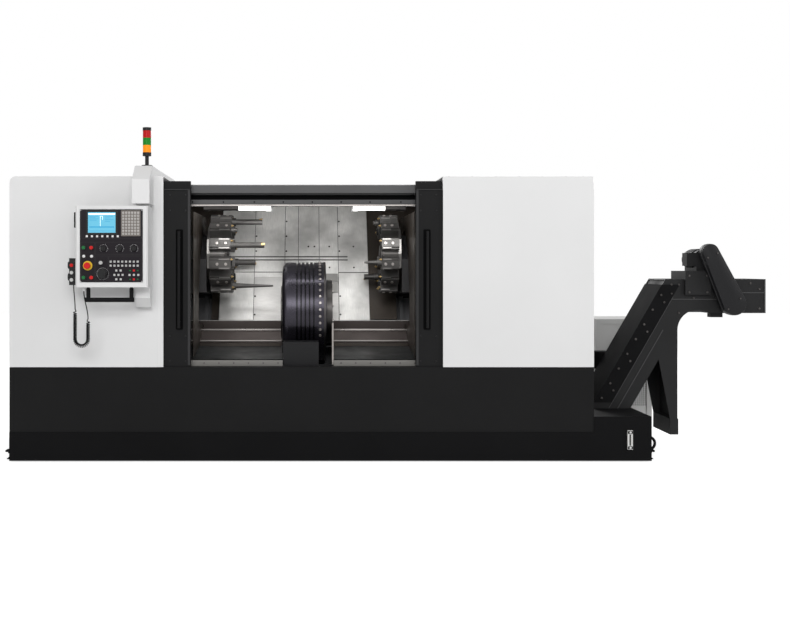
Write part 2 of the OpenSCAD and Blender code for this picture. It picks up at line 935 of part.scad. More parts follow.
module cooler_cabinet() {
    color("#d2d2d0") placed() {
        difference() {
            block([cabinet_x, bay_depth, cabinet_foot],
                  [cabinet_x + cabinet_w, bay_depth + cabinet_d, cabinet_top]);
            block([cabinet_x + panel_inset, bay_depth - overrun, cabinet_foot + panel_inset],
                  [cabinet_x + cabinet_w - panel_inset, bay_depth + panel_recess, cabinet_top - panel_inset]);
            for (place = [upper_slots, lower_slots], i = [0 : slot_count - 1])
                translate([cabinet_x + place[0], bay_depth, place[1] + slot_step * i])
                    cube([slot_w, panel_recess + slot_d, slot_h]);
        }
        for (x = [cabinet_x, cabinet_x + cabinet_w - cabinet_foot_w],
             y = [bay_depth, bay_depth + cabinet_d - cabinet_foot_w])
            block([x, y, 0], [x + cabinet_foot_w, y + cabinet_foot_w, cabinet_foot]);
    }
}

// Coolant pump on the bay's deck, with its cowl
pump_in = 285;
pump_x = base_w + pump_in;
pump_y = 850;
pump_r = 68;
pump_z = 515;
pump_top = 638;
pump_cowl_r = 71;
pump_cowl_h = 40;
pump_body_r = 45;
pump_flange_r = 70;
pump_flange_h = 12;

module coolant_pump() {
    color("#2a2a2c") placed() translate([pump_x, pump_y, 0]) {
        translate([0, 0, bay_top]) cylinder(r = pump_flange_r, h = pump_flange_h);
        translate([0, 0, bay_top]) cylinder(r = pump_body_r, h = pump_z - bay_top);
        translate([0, 0, pump_z]) cylinder(r = pump_r, h = pump_top - pump_z);
        translate([0, 0, pump_top - pump_cowl_h]) cylinder(r = pump_cowl_r, h = pump_cowl_h);
    }
}

// Pressure pipe from the pump into the base, and the drain loop at the plinth's end
pipe_r = 18;
pipe_z = 430;
drain_r = 9;
drain_bend = 40;
drain_y = 60;
drain_z = 110;
half_turn = 180;

module coolant_pipes() {
    color("#1f1f21") placed() {
        difference() {
            rod_x(base_w, pump_y, pipe_z, pipe_r, pump_x - base_w);
            translate([pump_x, pump_y, 0]) cylinder(r = pump_body_r, h = pump_z);
        }
        translate([tank_w, drain_y, drain_z]) rotate([90, 0, 0]) rotate([0, 0, -half_turn / 2])
            rotate_extrude(angle = half_turn) translate([drain_bend, 0]) circle(drain_r);
    }
}

// Coolant level gauge on the plinth's front
gauge_in = 209;
gauge_x = base_w + gauge_in;
gauge_w = 32;
gauge_z = 82;
gauge_h = 121;
gauge_d = 14;
gauge_rim = 8;
gauge_recess = 4;

module level_gauge() {
    color("#eeeeea") placed() difference() {
        block([gauge_x, -plinth_proud - gauge_d, gauge_z],
              [gauge_x + gauge_w, -plinth_proud, gauge_z + gauge_h]);
        block([gauge_x + gauge_rim, -plinth_proud - gauge_d - overrun, gauge_z + gauge_rim],
              [gauge_x + gauge_w - gauge_rim, -plinth_proud - gauge_d + gauge_recess,
               gauge_z + gauge_h - gauge_rim]);
    }
}

// Carriages, turret heads and turrets, measured from a disc's face away from the drum
saddle_a = 60;
saddle_w = 500;
saddle_low = -420;
saddle_high = 330;
saddle_out = -400;
cross_rails = [140, 370];
cross_rail_w = 30;
cross_rail_h = 24;
head_a = 124;
head_w = 289;
head_half = 140;
head_base = -340;
head_front = 650;
head_low = 1063;
head_high = 1293;
head_lean = 20;
hub_r = 60;
hub_d = 84;
shield_a = 164;
shield_t = 4;
shield_out = -308;
shield_end = 560;
shield_gap = 14;
shield_front = beam_y + beam_d + shield_gap;
shield_z = 1600;
shield_margin = 12;
left_lap_share = 0.7647;
right_lap_share = 0.4608;
cross_low = -230;
cross_high = 30;
slot_gap = 12;
post_a = 480;
post_w = 60;
post_low = 250;
left_face = left_disc_x + left_disc_w;
right_face = right_disc_x;
left_lap = left_lap_share * (drum_x - left_face);
right_lap = right_lap_share * (right_face - drum_x - drum_w);

// Places what is measured from a disc's face, to the left or to the right of the drum
module from_disc(face, flip) {
    translate([face, 0, 0]) mirror([flip, 0, 0]) children();
}

module saddle(face, flip) {
    color("#6d6e72") placed() from_disc(face, flip) {
        difference() {
            slant_block(saddle_a, saddle_w, [saddle_low, saddle_high], [way_out + clearance, saddle_out]);
            for (along = [rail_low, rail_high])
                slant_block(saddle_a - overrun, saddle_w + 2 * overrun,
                            [along - clearance, along + rail_w + clearance],
                            [way_out - overrun, way_out + rail_h + clearance]);
        }
        for (a = cross_rails)
            slant_block(a, cross_rail_w, [saddle_low, saddle_high], [saddle_out, saddle_out + cross_rail_h]);
    }
}

// Outline of the turret head, moved along the cross slide
module head_side(along) {
    translate(along * slant_u) polygon([
        on_slant(-head_half, head_base),
        [head_front, head_low],
        [head_front, head_high],
        on_slant(head_half, head_lean),
        on_slant(head_half, head_base)
    ]);
}

// Room that the turret head needs over its whole travel
module head_sweep() {
    gap = slot_gap;
    polygon([
        on_slant(cross_low - head_half - gap, head_base - gap),
        [head_front - gap, head_low - gap] + cross_low * slant_u,
        [head_front - gap, head_high] + cross_low * slant_u,
        [head_front - gap, head_high + 2 * gap] + cross_high * slant_u,
        on_slant(cross_high + head_half + gap, head_lean + gap),
        on_slant(cross_high + head_half + gap, head_base - gap)
    ]);
}

module turret_head(face, flip) {
    color("#3b3b40") placed() from_disc(face, flip) {
        along_x(head_a, head_w) head_side(0);
        difference() {
            slant_block(head_a, head_w, [-head_half, head_half], [saddle_out + clearance, head_base]);
            for (a = cross_rails)
                slant_block(a - clearance, cross_rail_w + 2 * clearance,
                            [-head_half - overrun, head_half + overrun],
                            [saddle_out - overrun, saddle_out + cross_rail_h + clearance]);
        }
        rod_x(head_a - hub_d, turret_y, turret_z, hub_r, hub_d);
    }
}

// Sheet cover of a carriage: a back sheet behind the lining and a side sheet round the turret head
module way_shield(face, flip, lap) {
    low = on_slant(liner_low, liner_out);
    color("#a39a92") placed() from_disc(face, flip) {
        difference() {
            slant_block(-lap, lap + shield_end, [liner_low + shield_margin, liner_high],
                        [shield_out - shield_t, shield_out]);
            along_x(head_a - slot_gap, head_w + 2 * slot_gap) head_sweep();
        }
        difference() {
            along_x(shield_a, shield_t) intersection() {
                polygon(concat(
                    [for (point = ledge_points(low)) point + [-shield_margin, shield_margin]],
                    [on_slant(liner_low + shield_margin, shield_out), on_slant(liner_high, shield_out),
                     [shield_front, on_slant(liner_high, shield_out)[1]]]
                ));
                translate([shield_front, 0]) square([base_depth, shield_z]);
            }
            along_x(shield_a - overrun, shield_t + 2 * overrun) head_sweep();
        }
        for (a = [saddle_a, post_a])
            slant_block(a, post_w, [post_low, saddle_high], [saddle_out, shield_out - shield_t]);
    }
}

// Places what belongs to a turret disc, with its axis upwards
module on_disc(face, flip) {
    from_disc(face, flip) translate([0, turret_y, turret_z]) rotate([0, 90, 0]) children();
}

disc_cap_r = 90;
disc_cap_h = 10;
socket_ring_r = 140;
socket_d = 80;
socket_station = 3;
full_turn = 360;
station_turn = full_turn / stations;

module turret_disc(face, flip, width) {
    difference() {
        union() {
            on_disc(face, flip) cylinder(r = turret_r / cos(station_turn / 2), h = width, $fn = stations);
            on_disc(face, flip) translate([0, 0, -disc_cap_h]) cylinder(r = disc_cap_r, h = disc_cap_h);
        }
        on_disc(face, flip) translate([0, 0, head_a - hub_d - clearance])
            cylinder(r = hub_r + running, h = width);
    }
}

module left_turret() {
    color("#8f8b88") placed() turret_disc(left_face, 1, left_disc_w);
}

module right_turret() {
    color("#8f8b88") placed() difference() {
        turret_disc(right_face, 0, right_disc_w);
        on_disc(right_face, 0) rotate([0, 0, station_turn * (socket_station + 1 / 2)])
            translate([socket_ring_r, 0, -overrun]) cylinder(r = socket_r, h = socket_d + overrun);
    }
}

// Tool holders on the disc's flats, and tools as [station, reach, shank radius, tip radius]
holder_w = 76;
holder_h = 83;
holder_len = 100;
holder_step = 14;
holder_step_w = 50;
left_holder = 49;
right_holder = 21;
shank_r = 20;
short_r = 14;
taper_r = 6;
tool_height_share = 0.45;
collar_grow = 9;
collar_h = 26;
left_bars = [[6, 260, shank_r, shank_r], [7, 90, short_r, short_r], [8, 281, shank_r, shank_r],
             [11, 337, shank_r, taper_r], [2, 200, shank_r, shank_r]];
right_bars = [[9, 140, shank_r, taper_r], [5, 60, short_r, short_r], [1, 120, shank_r, shank_r]];

module tools(face, flip, reach, bars, bare) {
    color("#77757a") placed() on_disc(face, flip) {
        for (i = [0 : stations - 1]) if (i != bare) rotate([0, 0, station_turn * (i + 1 / 2)]) {
            translate([turret_r, -holder_w / 2, -reach])
                cube([holder_h - holder_step, holder_w, reach + holder_len]);
            translate([turret_r, -holder_step_w / 2, -reach])
                cube([holder_h, holder_step_w, reach + holder_len]);
        }
        for (bar = bars) rotate([0, 0, station_turn * (bar[0] + 1 / 2)])
            translate([turret_r + tool_height_share * holder_h, 0, 0]) {
                translate([0, 0, -bar[1]]) cylinder(r1 = bar[3], r2 = bar[2], h = bar[1] - reach);
                translate([0, 0, -reach - collar_h]) cylinder(r = bar[2] + collar_grow, h = collar_h);
            }
    }
}

module left_saddle() {
    saddle(left_face, 1);
}

module right_saddle() {
    saddle(right_face, 0);
}

module left_turret_head() {
    turret_head(left_face, 1);
}

module right_turret_head() {
    turret_head(right_face, 0);
}

module left_shield() {
    way_shield(left_face, 1, left_lap);
}

module right_shield() {
    way_shield(right_face, 0, right_lap);
}

module left_tools() {
    tools(left_face, 1, left_holder, left_bars, stations);
}

module right_tools() {
    tools(right_face, 0, right_holder, right_bars, socket_station);
}

// Sliding doors: a folded panel with a window, a set-back header and a pull handle
window_side = 90;
window_low = 300;
window_high = 960;
window_lap = 14;
window_t = 12;
header_h = 51;
header_set = 10;
panel_hollow = 34;
panel_wall = 8;
pull_inset = 60;
pull_low = 248;
pull_reach = 45;
pull_post_r = 7;
pull_post_inset = 40;

// Places a door by its leading edge, which faces the middle of the machine
module from_edge(edge, flip) {
    translate([edge, door_y, door_z]) mirror([flip, 0, 0]) children();
}

left_edge = left_door_x + door_w;
right_edge = right_door_x;

module door_panel(edge, flip) {
    window_end = door_w - window_side;
    color("#2b2c2f") placed() from_edge(edge, flip) difference() {
        cube([door_w, door_t, door_h]);
        translate([-overrun, -overrun, door_h - header_h])
            cube([door_w + 2 * overrun, header_set + overrun, header_h + overrun]);
        translate([panel_wall, door_t - panel_hollow, panel_wall])
            cube([door_w - 2 * panel_wall, panel_hollow + overrun, door_h - 2 * panel_wall]);
        translate([door_stile + window_side, -overrun, window_low])
            cube([window_end - door_stile - window_side, door_t + 2 * overrun, window_high - window_low]);
    }
}

module door_window(edge, flip) {
    window_end = door_w - window_side;
    color("#8fa3a8") placed() from_edge(edge, flip)
        translate([door_stile + window_side - window_lap, door_t - panel_hollow, window_low - window_lap])
            cube([window_end - door_stile - window_side + 2 * window_lap, window_t,
                  window_high - window_low + 2 * window_lap]);
}

module pull_handle(edge, flip) {
    color("#3a3b3e") placed() from_edge(edge, flip) translate([pull_inset + pull_w / 2, 0, pull_low]) {
        translate([0, -pull_reach + pull_w / 2, 0]) cylinder(r = pull_w / 2, h = pull_h);
        for (z = [pull_post_inset, pull_h - pull_post_inset])
            rod_y(0, -pull_reach + pull_w / 2, z, pull_post_r, pull_reach - pull_w / 2);
    }
}

module left_door() {
    door_panel(left_edge, 1);
}

module right_door() {
    door_panel(right_edge, 0);
}

module left_window() {
    door_window(left_edge, 1);
}

module right_window() {
    door_window(right_edge, 0);
}

module left_handle() {
    pull_handle(left_edge, 1);
}

module right_handle() {
    pull_handle(right_edge, 0);
}

// Pendant: the case in front of its swivel column
column_w = 92;
column_low = 986;
column_chamfer = 60;
column_back = -25;
pendant_top = pendant_z + pendant_h;
pendant_edge = 14;
panel_drop_share = 0.6;
panel_x = pendant_x + (pendant_w - panel_w) / 2;
panel_z = pendant_z + (pendant_h - panel_h) * panel_drop_share;
panel_front = pendant_front - panel_t;
collar_r = 40;
spigot_h = 55;
gland_r = 12;
gland_h = 25;
port_cover = [5, 40, 99];
port_z = 332;
stem_r = 6;
stem_d = 30;
bezel_r = 16;
bezel_h = 3;

// Places on the panel, as shares of its width and height
stop_share = [0.124, 0.227];
upper_start_share = [0.063, 0.474];
upper_stop_share = [0.187, 0.474];
lower_start_share = [0.063, 0.064];
lower_stop_share = [0.187, 0.064];
left_knob_share = [0.379, 0.463];
middle_knob_share = [0.635, 0.463];
right_knob_share = [0.862, 0.463];
mode_knob_share = [0.338, 0.266];
wheel_share = [0.365, 0.116];
control_shares = [stop_share, upper_start_share, upper_stop_share, lower_start_share, lower_stop_share,
                  left_knob_share, middle_knob_share, right_knob_share, mode_knob_share, wheel_share];
lamp_shares = [[0.063, 0.356], [0.187, 0.356]];
screen_low_share = [0.127, 0.671];
screen_high_share = [0.571, 0.966];
keypad_low_share = [0.667, 0.644];
keypad_high_share = [0.952, 0.973];

function on_panel(share) = [panel_x + share[0] * panel_w, panel_front, panel_z + share[1] * panel_h];

// Bores for the stems of all the controls
module stem_bores(depth) {
    for (share = control_shares) translate(on_panel(share))
        translate([0, -overrun - bezel_h, 0]) rod_y(0, 0, 0, stem_r + running, depth + overrun + bezel_h);
}

module pendant_case() {
    color("#efefef") placed() difference() {
        union() {
            difference() {
                block([pendant_x, pendant_front, pendant_z], [pendant_x + pendant_w, pendant_back, pendant_top]);
                for (x = [pendant_x, pendant_x + pendant_w])
                    translate([x, pendant_front, pendant_z - overrun]) rotate([0, 0, 45])
                        translate([-pendant_edge / 2, -pendant_edge / 2, 0])
                            cube([pendant_edge, pendant_edge, pendant_h + 2 * overrun]);
            }
            along_x(swivel_x - column_w / 2, column_w) polygon([
                [pendant_back, column_low + column_chamfer],
                [pendant_back + column_chamfer, column_low],
                [column_back, column_low],
                [column_back, pendant_top],
                [pendant_back, pendant_top]
            ]);
            translate([swivel_x, swivel_y, pendant_top])
                cylinder(r = collar_r, h = arm_low - clearance - pendant_top);
            translate([swivel_x, swivel_y, pendant_top])
                cylinder(r = swivel_r, h = arm_low - pendant_top + spigot_h);
            translate(lead_out) cylinder(r = gland_r, h = gland_h);
            translate([pendant_x - port_cover[0], lead_out[1] - port_cover[1] / 2, pendant_z + port_z])
                cube(port_cover);
        }
        stem_bores(panel_t + stem_d);
    }
}

// Dark front panel with its bezels, lamps and raised keys
key = 10;
key_h = 2;
keypad_cols = 6;
keypad_rows = 8;
soft_keys = 7;
soft_key_share = 0.63;
soft_first_share = 0.111;
soft_last_share = 0.603;
lamp_button_r = 9;
lamp_button_h = 4;
row_first_share = 0.49;
row_last_share = 0.92;
row_shares = [0.282, 0.227];
row_keys = 8;
jog_shares = [[0.58, 0.16], [0.65, 0.16], [0.55, 0.1], [0.615, 0.1], [0.68, 0.1], [0.58, 0.04], [0.65, 0.04],
              [0.86, 0.16], [0.79, 0.1], [0.86, 0.1], [0.93, 0.1], [0.86, 0.04]];

module key_cap(share) {
    translate(on_panel(share)) translate([-key / 2, -key_h, -key / 2]) cube([key, key_h, key]);
}

module pendant_panel() {
    color("#2a272b") placed() difference() {
        union() {
            block([panel_x, panel_front, panel_z], [panel_x + panel_w, pendant_front, panel_z + panel_h]);
            for (share = control_shares) translate(on_panel(share)) rod_y(0, -bezel_h, 0, bezel_r, bezel_h);
            for (share = lamp_shares) translate(on_panel(share))
                rod_y(0, -lamp_button_h, 0, lamp_button_r, lamp_button_h);
            for (i = [0 : keypad_cols - 1], j = [0 : keypad_rows - 1]) key_cap([
                keypad_low_share[0] + (keypad_high_share[0] - keypad_low_share[0]) * (i + 1 / 2) / keypad_cols,
                keypad_low_share[1] + (keypad_high_share[1] - keypad_low_share[1]) * (j + 1 / 2) / keypad_rows
            ]);
            for (i = [0 : soft_keys - 1])
                key_cap([soft_first_share + (soft_last_share - soft_first_share) * i / (soft_keys - 1),
                         soft_key_share]);
            for (height = row_shares, i = [0 : row_keys - 1])
                key_cap([row_first_share + (row_last_share - row_first_share) * i / (row_keys - 1), height]);
            for (share = jog_shares) key_cap(share);
        }
        stem_bores(panel_t + overrun);
    }
}

screen_t = 2;

module pendant_screen() {
    color("#4fb6cf") placed() {
        low = on_panel(screen_low_share);
        high = on_panel(screen_high_share);
        block([low[0], panel_front - screen_t, low[2]], [high[0], panel_front, high[2]]);
    }
}

// Pull handle under the case
grip_r = 9;
grip_in = [70, 337];
grip_drop = 79;
grip_left = pendant_x + grip_in[0];
grip_right = pendant_x + grip_in[1];
grip_z = pendant_z - grip_drop;
grip_y = -175;

module pendant_handle() {
    color("#1e1e20") placed() {
        for (x = [grip_left, grip_right])
            translate([x, grip_y, grip_z]) cylinder(r = grip_r, h = pendant_z - grip_z);
        rod_x(grip_left - grip_r, grip_y, grip_z, grip_r, grip_right - grip_left + 2 * grip_r);
    }
}

// Hand unit clipped to the case's left side
unit_w = 42;
unit_in = 13;
unit_h = 166;
unit_low = pendant_z + unit_in;
unit_high = unit_low + unit_h;
unit_y = -210;
unit_d = 70;
unit_knob_r = 22;
unit_knob_h = 12;
unit_knob_shares = [0.3, 0.74];

module hand_unit() {
    color("#d8d4c4") placed() {
        block([pendant_x - unit_w, unit_y, unit_low], [pendant_x, unit_y + unit_d, unit_high]);
        for (share = unit_knob_shares)
            rod_x(pendant_x - unit_w - unit_knob_h, unit_y + unit_d / 2,
                  unit_low + share * (unit_high - unit_low), unit_knob_r, unit_knob_h);
    }
}

// Curly cord between the hand unit and the gland: two straight leads and the curl
lead_r = 3.25;
lead_sides = 8;
curl_r = 12.5;
curl_sides = 12;
cord_y = unit_y + unit_d / 2;
lead_out_in = 42;
lead_in = [pendant_x - unit_w / 2, cord_y, unit_low];
lead_out = [pendant_x + lead_out_in, cord_y, pendant_z - gland_h];
lead_rings = 8;
curl_loop_r = 40;
curl_loop_rings = 8;
curl_in = 28;
curl_drops = [135, 195, 325];
curl_x = pendant_x + curl_in;
curl_left_top = pendant_z - curl_drops[0];
curl_right_top = pendant_z - curl_drops[1];
curl_low = pendant_z - curl_drops[2];
curl_straight = [0, 1 / 4, 1 / 2, 3 / 4];

// A lead drops from one place to another and eases sideways on the way
function eased(share) = share * share * (3 - 2 * share);
function lead(top, low) = [for (i = [0 : lead_rings]) let(share = i / lead_rings)
    [top[0] + (low[0] - top[0]) * eased(share), cord_y, top[2] + (low[2] - top[2]) * share]];
left_lead = lead(lead_in, [curl_x - curl_loop_r, cord_y, curl_left_top]);
right_lead = lead(lead_out, [curl_x + curl_loop_r, cord_y, curl_right_top]);
curl_route = concat(
    [for (share = curl_straight)
        [curl_x - curl_loop_r, cord_y, curl_left_top + (curl_low - curl_left_top) * share]],
    [for (i = [0 : curl_loop_rings]) let(turn = half_turn * (1 + i / curl_loop_rings))
        [curl_x + curl_loop_r * cos(turn), cord_y, curl_low + curl_loop_r * sin(turn)]],
    [for (i = [len(curl_straight) - 1 : -1 : 0]) let(share = curl_straight[i])
        [curl_x + curl_loop_r, cord_y, curl_right_top + (curl_low - curl_right_top) * share]]
);

// Direction of a route at a ring; its ends are upright
function heading(route, i) = let(step = route[min(i + 1, len(route) - 1)] - route[max(i - 1, 0)])
    i == 0 || i == len(route) - 1 ? [0, 0, sign(step[2])] : step / norm(step);

// One closed tube of straight-sided rings along a route in a plane of constant depth
module tube(route, r, sides) {
    rings = len(route);
    points = [for (i = [0 : rings - 1], j = [0 : sides - 1])
        let(along = heading(route, i), across = cross(along, [0, 1, 0]), turn = full_turn * j / sides)
        route[i] + r * (cos(turn) * across + sin(turn) * [0, 1, 0])];
    sides_faces = [for (i = [0 : rings - 2], j = [0 : sides - 1])
        [i * sides + j, i * sides + (j + 1) % sides, (i + 1) * sides + (j + 1) % sides, (i + 1) * sides + j]];
    start = [for (j = [sides - 1 : -1 : 0]) j];
    end = [for (j = [0 : sides - 1]) (rings - 1) * sides + j];
    polyhedron(points, concat(sides_faces, [start, end]));
}

module cord_leads() {
    color("#303032") placed() {
        tube(left_lead, lead_r, lead_sides);
        tube(right_lead, lead_r, lead_sides);
    }
}

module cord_curl() {
    color("#38383a") placed() tube(curl_route, curl_r, curl_sides);
}

// Buttons, knobs and the handwheel, each on a stem in the panel
button_r = 11;
button_h = 8;
button_gap = 5;
stem_in = 20;
mushroom_r = 20;
mushroom_h = 14;
mushroom_gap = 12;
knob_r = 15;
knob_h = 18;
knob_gap = 1;
pointer_w = 5;
mode_r = 11;
wheel_r = 30;
wheel_t = 12;
wheel_gap = 12;
wheel_grip_r = 7;
wheel_grip_share = 0.68;

module stem(share, gap) {
    translate(on_panel(share)) rod_y(0, -bezel_h - gap, 0, stem_r, bezel_h + gap + stem_in);
}

module push_button(share, r, h, gap, tint) {
    color(tint) placed() {
        stem(share, gap);
        translate(on_panel(share)) rod_y(0, -bezel_h - gap - h, 0, r, h);
    }
}

module dial(share, r, tint) {
    color(tint) placed() {
        stem(share, knob_gap);
        translate(on_panel(share)) {
            rod_y(0, -bezel_h - knob_gap - knob_h, 0, r, knob_h);
            translate([-pointer_w / 2, -bezel_h - knob_gap - knob_h - pointer_w, -r])
                cube([pointer_w, pointer_w, 2 * r]);
        }
    }
}

module e_stop() {
    push_button(stop_share, mushroom_r, mushroom_h, mushroom_gap, "red");
}

module upper_start() {
    push_button(upper_start_share, button_r, button_h, button_gap, "green");
}

module upper_stop() {
    push_button(upper_stop_share, button_r, button_h, button_gap, "red");
}

module lower_start() {
    push_button(lower_start_share, button_r, button_h, button_gap, "green");
}

module lower_stop() {
    push_button(lower_stop_share, button_r, button_h, button_gap, "red");
}

module left_knob() {
    dial(left_knob_share, knob_r, "#202022");
}

module middle_knob() {
    dial(middle_knob_share, knob_r, "#202022");
}

module right_knob() {
    dial(right_knob_share, knob_r, "#202022");
}

module mode_knob() {
    dial(mode_knob_share, mode_r, "#c9c9c9");
}

module handwheel() {
    color("#19191b") placed() {
        stem(wheel_share, wheel_gap);
        translate(on_panel(wheel_share)) {
            rod_y(0, -wheel_gap - wheel_t, 0, wheel_r, wheel_t);
            rod_y(wheel_grip_share * wheel_r, -wheel_reach, 0, wheel_grip_r, wheel_reach - wheel_gap);
        }
    }
}

bed();
base_cover();
coolant_tank();
levelling_feet();
left_cover();
right_cover();
rear_cover();
top_beam();
chamber_liner();
work_lamps();
signal_arm();
tower_stand();
lens_red();
lens_green();
lens_amber();
headstock();
drum_guard();
cooler_cabinet();
coolant_pump();
coolant_pipes();
level_gauge();
conveyor_trough();
conveyor_cover();
conveyor_belt();
gearmotor();
chain_guard();
spindle();
left_saddle();
left_shield();
left_turret_head();
left_turret();
left_tools();
right_saddle();
right_shield();
right_turret_head();
right_turret();
right_tools();
left_door();
left_window();
left_handle();
right_door();
right_window();
right_handle();
pendant_case();
pendant_panel();
pendant_screen();
pendant_handle();
hand_unit();
cord_leads();
cord_curl();
e_stop();
upper_start();
upper_stop();
lower_start();
lower_stop();
left_knob();
middle_knob();
right_knob();
mode_knob();
handwheel();
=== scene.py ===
# %% [markdown]
# # An enclosed turning lathe with a drive drum in the middle
# The imported CAD model gives every real solid of the machine. This lesson loads it as a fixed frame,
# gives each solid the finish of the real one, and adds the small parts that are quicker to draw as
# surfaces: bolts, seams, keys, dial marks, grilles and the curly cord of the hand unit.
# The wall seams, the door pull recesses and the cooler's holes and slots are black plates painted as shade.

# %% Load the frame
import json
import math

import bmesh
import bpy
import numpy as np
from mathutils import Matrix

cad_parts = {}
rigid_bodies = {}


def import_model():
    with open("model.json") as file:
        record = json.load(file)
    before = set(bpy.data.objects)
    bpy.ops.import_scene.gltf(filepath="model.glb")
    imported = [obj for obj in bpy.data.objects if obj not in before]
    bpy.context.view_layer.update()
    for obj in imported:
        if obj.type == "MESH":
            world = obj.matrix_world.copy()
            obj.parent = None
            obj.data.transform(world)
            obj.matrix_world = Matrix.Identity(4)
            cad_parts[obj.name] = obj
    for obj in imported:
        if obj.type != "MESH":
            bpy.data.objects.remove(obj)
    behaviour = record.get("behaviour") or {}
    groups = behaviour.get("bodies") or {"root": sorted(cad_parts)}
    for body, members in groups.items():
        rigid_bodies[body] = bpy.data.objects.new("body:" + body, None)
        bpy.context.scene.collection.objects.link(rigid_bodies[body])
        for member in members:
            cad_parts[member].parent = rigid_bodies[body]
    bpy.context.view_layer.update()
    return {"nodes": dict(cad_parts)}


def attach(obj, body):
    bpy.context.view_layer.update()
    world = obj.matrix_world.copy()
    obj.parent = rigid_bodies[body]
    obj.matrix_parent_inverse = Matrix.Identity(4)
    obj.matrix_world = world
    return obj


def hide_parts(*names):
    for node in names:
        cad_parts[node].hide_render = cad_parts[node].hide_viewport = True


for leftover in list(bpy.data.objects):
    bpy.data.objects.remove(leftover)

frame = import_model()

# %% [markdown]
# ## One ruler for everything
# The machine was drawn in millimetres from the left end of its base, its front sheet and the floor.
# Blender works in metres from the middle of the whole machine, so one small function carries every
# point across. New pieces keep their place in their mesh and their object at the origin, as the CAD
# solids do.

# %% From machine millimetres to scene metres
CENTRE = np.array([2461.5, 653.0, 0.0])


def metres(points):
    """Scene point = (machine point - middle of the machine) / 1000."""
    return (np.asarray(points, float) - CENTRE) / 1000


print("machine's left front corner:", metres([0, 0, 0]))

# %% [markdown]
# ## Surfaces as arrays
# Every new piece is either a grid of points, with one four-sided face between neighbours, or a stack of
# closed outlines with a face over each end. Both are worked out as whole numpy arrays, so a hundred
# bolts cost one line.

# %% Grids, stacks and copies


def grid_faces(rows, columns, around=False):
    """Face (i, j) joins points (i, j), (i+1, j), (i+1, j+1) and (i, j+1).

    With around, the last column is joined to the first.
    """
    index = np.arange(rows * columns).reshape(rows, columns)
    if around:
        index = np.hstack([index, index[:, :1]])
    corners = [index[:-1, :-1], index[1:, :-1], index[1:, 1:], index[:-1, 1:]]
    return np.stack(corners, axis=-1).reshape(-1, 4).tolist()


def stack(rings):
    """Rings of equal point count, one above another: side faces between them and one face over each end."""
    rings = np.asarray(rings, float)
    count, size = rings.shape[:2]
    last = (count - 1) * size
    faces = grid_faces(count, size, around=True)
    faces += [list(range(size))[::-1], list(range(last, last + size))]
    return rings.reshape(-1, 3), faces


def copies(shape, places):
    """The same shape moved to each place: points + place, with the face numbers counted on."""
    points, faces = shape
    places = np.asarray(places, float)
    spread = (points[None] + places[:, None]).reshape(-1, 3)
    joined = [[i + k * len(points) for i in face] for k in range(len(places)) for face in faces]
    return spread, joined


def together(*shapes):
    """Several shapes in one mesh, the face numbers of each counted on from the one before."""
    points, faces, start = [], [], 0
    for shape_points, shape_faces in shapes:
        points.append(shape_points)
        faces += [[i + start for i in face] for face in shape_faces]
        start += len(shape_points)
    return np.vstack(points), faces


print("faces of a 3 by 8 ring:", len(grid_faces(3, 8, around=True)))

# %% [markdown]
# ## Rounded plates, turned parts, tubes and strips
# A pressed key, a cover plate and a lamp bracket are all one rounded rectangle that shrinks a little at
# its edges. A bolt head is an outline turned round its axis. A pipe is a circle carried along a path,
# and a strip is a section carried from one end to the other. Blender's own primitives could be scaled
# to fit, but they would not keep their corner radius.

# %% Four kinds of shape
SHARP = 0.01  # radius of a corner that looks sharp; at 0 its points would fall together
TIP = 0.001  # radius of a turned part where it reaches its axis, for the same reason


def rounded(width, height, corner, steps=4):
    """Rectangle whose corners are quarter circles: corner centre + corner * (cos, sin) of a quarter turn."""
    turn = np.linspace(0, np.pi / 2, steps + 1)
    arc = corner * np.stack([np.cos(turn), np.sin(turn)], axis=-1)
    middle = np.array([width / 2 - corner, height / 2 - corner])
    spin = np.array([[[1, 0], [0, 1]], [[0, -1], [1, 0]], [[-1, 0], [0, -1]], [[0, 1], [-1, 0]]], float)
    sign = np.array([[1, 1], [-1, 1], [-1, -1], [1, -1]], float)
    return np.vstack([arc @ spin[k].T + middle * sign[k] for k in range(4)])


def plate(width, height, thick, corner=2.0, edge=0.6):
    """Rounded rectangle raised by thick, its rim eased.

    The outline lies at 0 and at thick - edge, and again at thick, where it is smaller by edge all round.
    """
    outer = rounded(width, height, max(corner, SHARP))
    inner = rounded(width - 2 * edge, height - 2 * edge, max(corner - edge, SHARP))
    levels = [(outer, 0.0), (outer, thick - edge), (inner, thick)]
    return stack([np.c_[outline, np.full(len(outline), level)] for outline, level in levels])


def turned(profile, sides=16):
    """Profile of (radius, height) turned round the axis: (r cos a, r sin a, h) at each angle a."""
    angle = np.arange(sides) * 2 * np.pi / sides
    circle = np.stack([np.cos(angle), np.sin(angle)], axis=-1)
    return stack([np.c_[max(r, TIP) * circle, np.full(sides, h)] for r, h in profile])


def tube(path, radius, sides=10):
    """Circle carried along a path: point + radius * (cos a * side + sin a * up), both square to the path."""
    path = np.asarray(path, float)
    along = np.gradient(path, axis=0)
    along /= np.linalg.norm(along, axis=1)[:, None]
    drift = np.abs(along).max(axis=0)
    pole = np.eye(3)[np.argmin(drift)]
    side = np.cross(along, pole)
    side /= np.linalg.norm(side, axis=1)[:, None]
    up = np.cross(side, along)
    angle = np.arange(sides) * 2 * np.pi / sides
    ring = np.cos(angle)[None, :, None] * side[:, None] + np.sin(angle)[None, :, None] * up[:, None]
    return stack(path[:, None] + radius * ring)


def carried(section, ends):
    """Section carried along a straight path: section point + end, one ring of points for each end."""
    return stack(np.asarray(section, float)[None] + np.asarray(ends, float)[:, None])


print("points of a key cap:", len(plate(20, 12, 3)[0]))

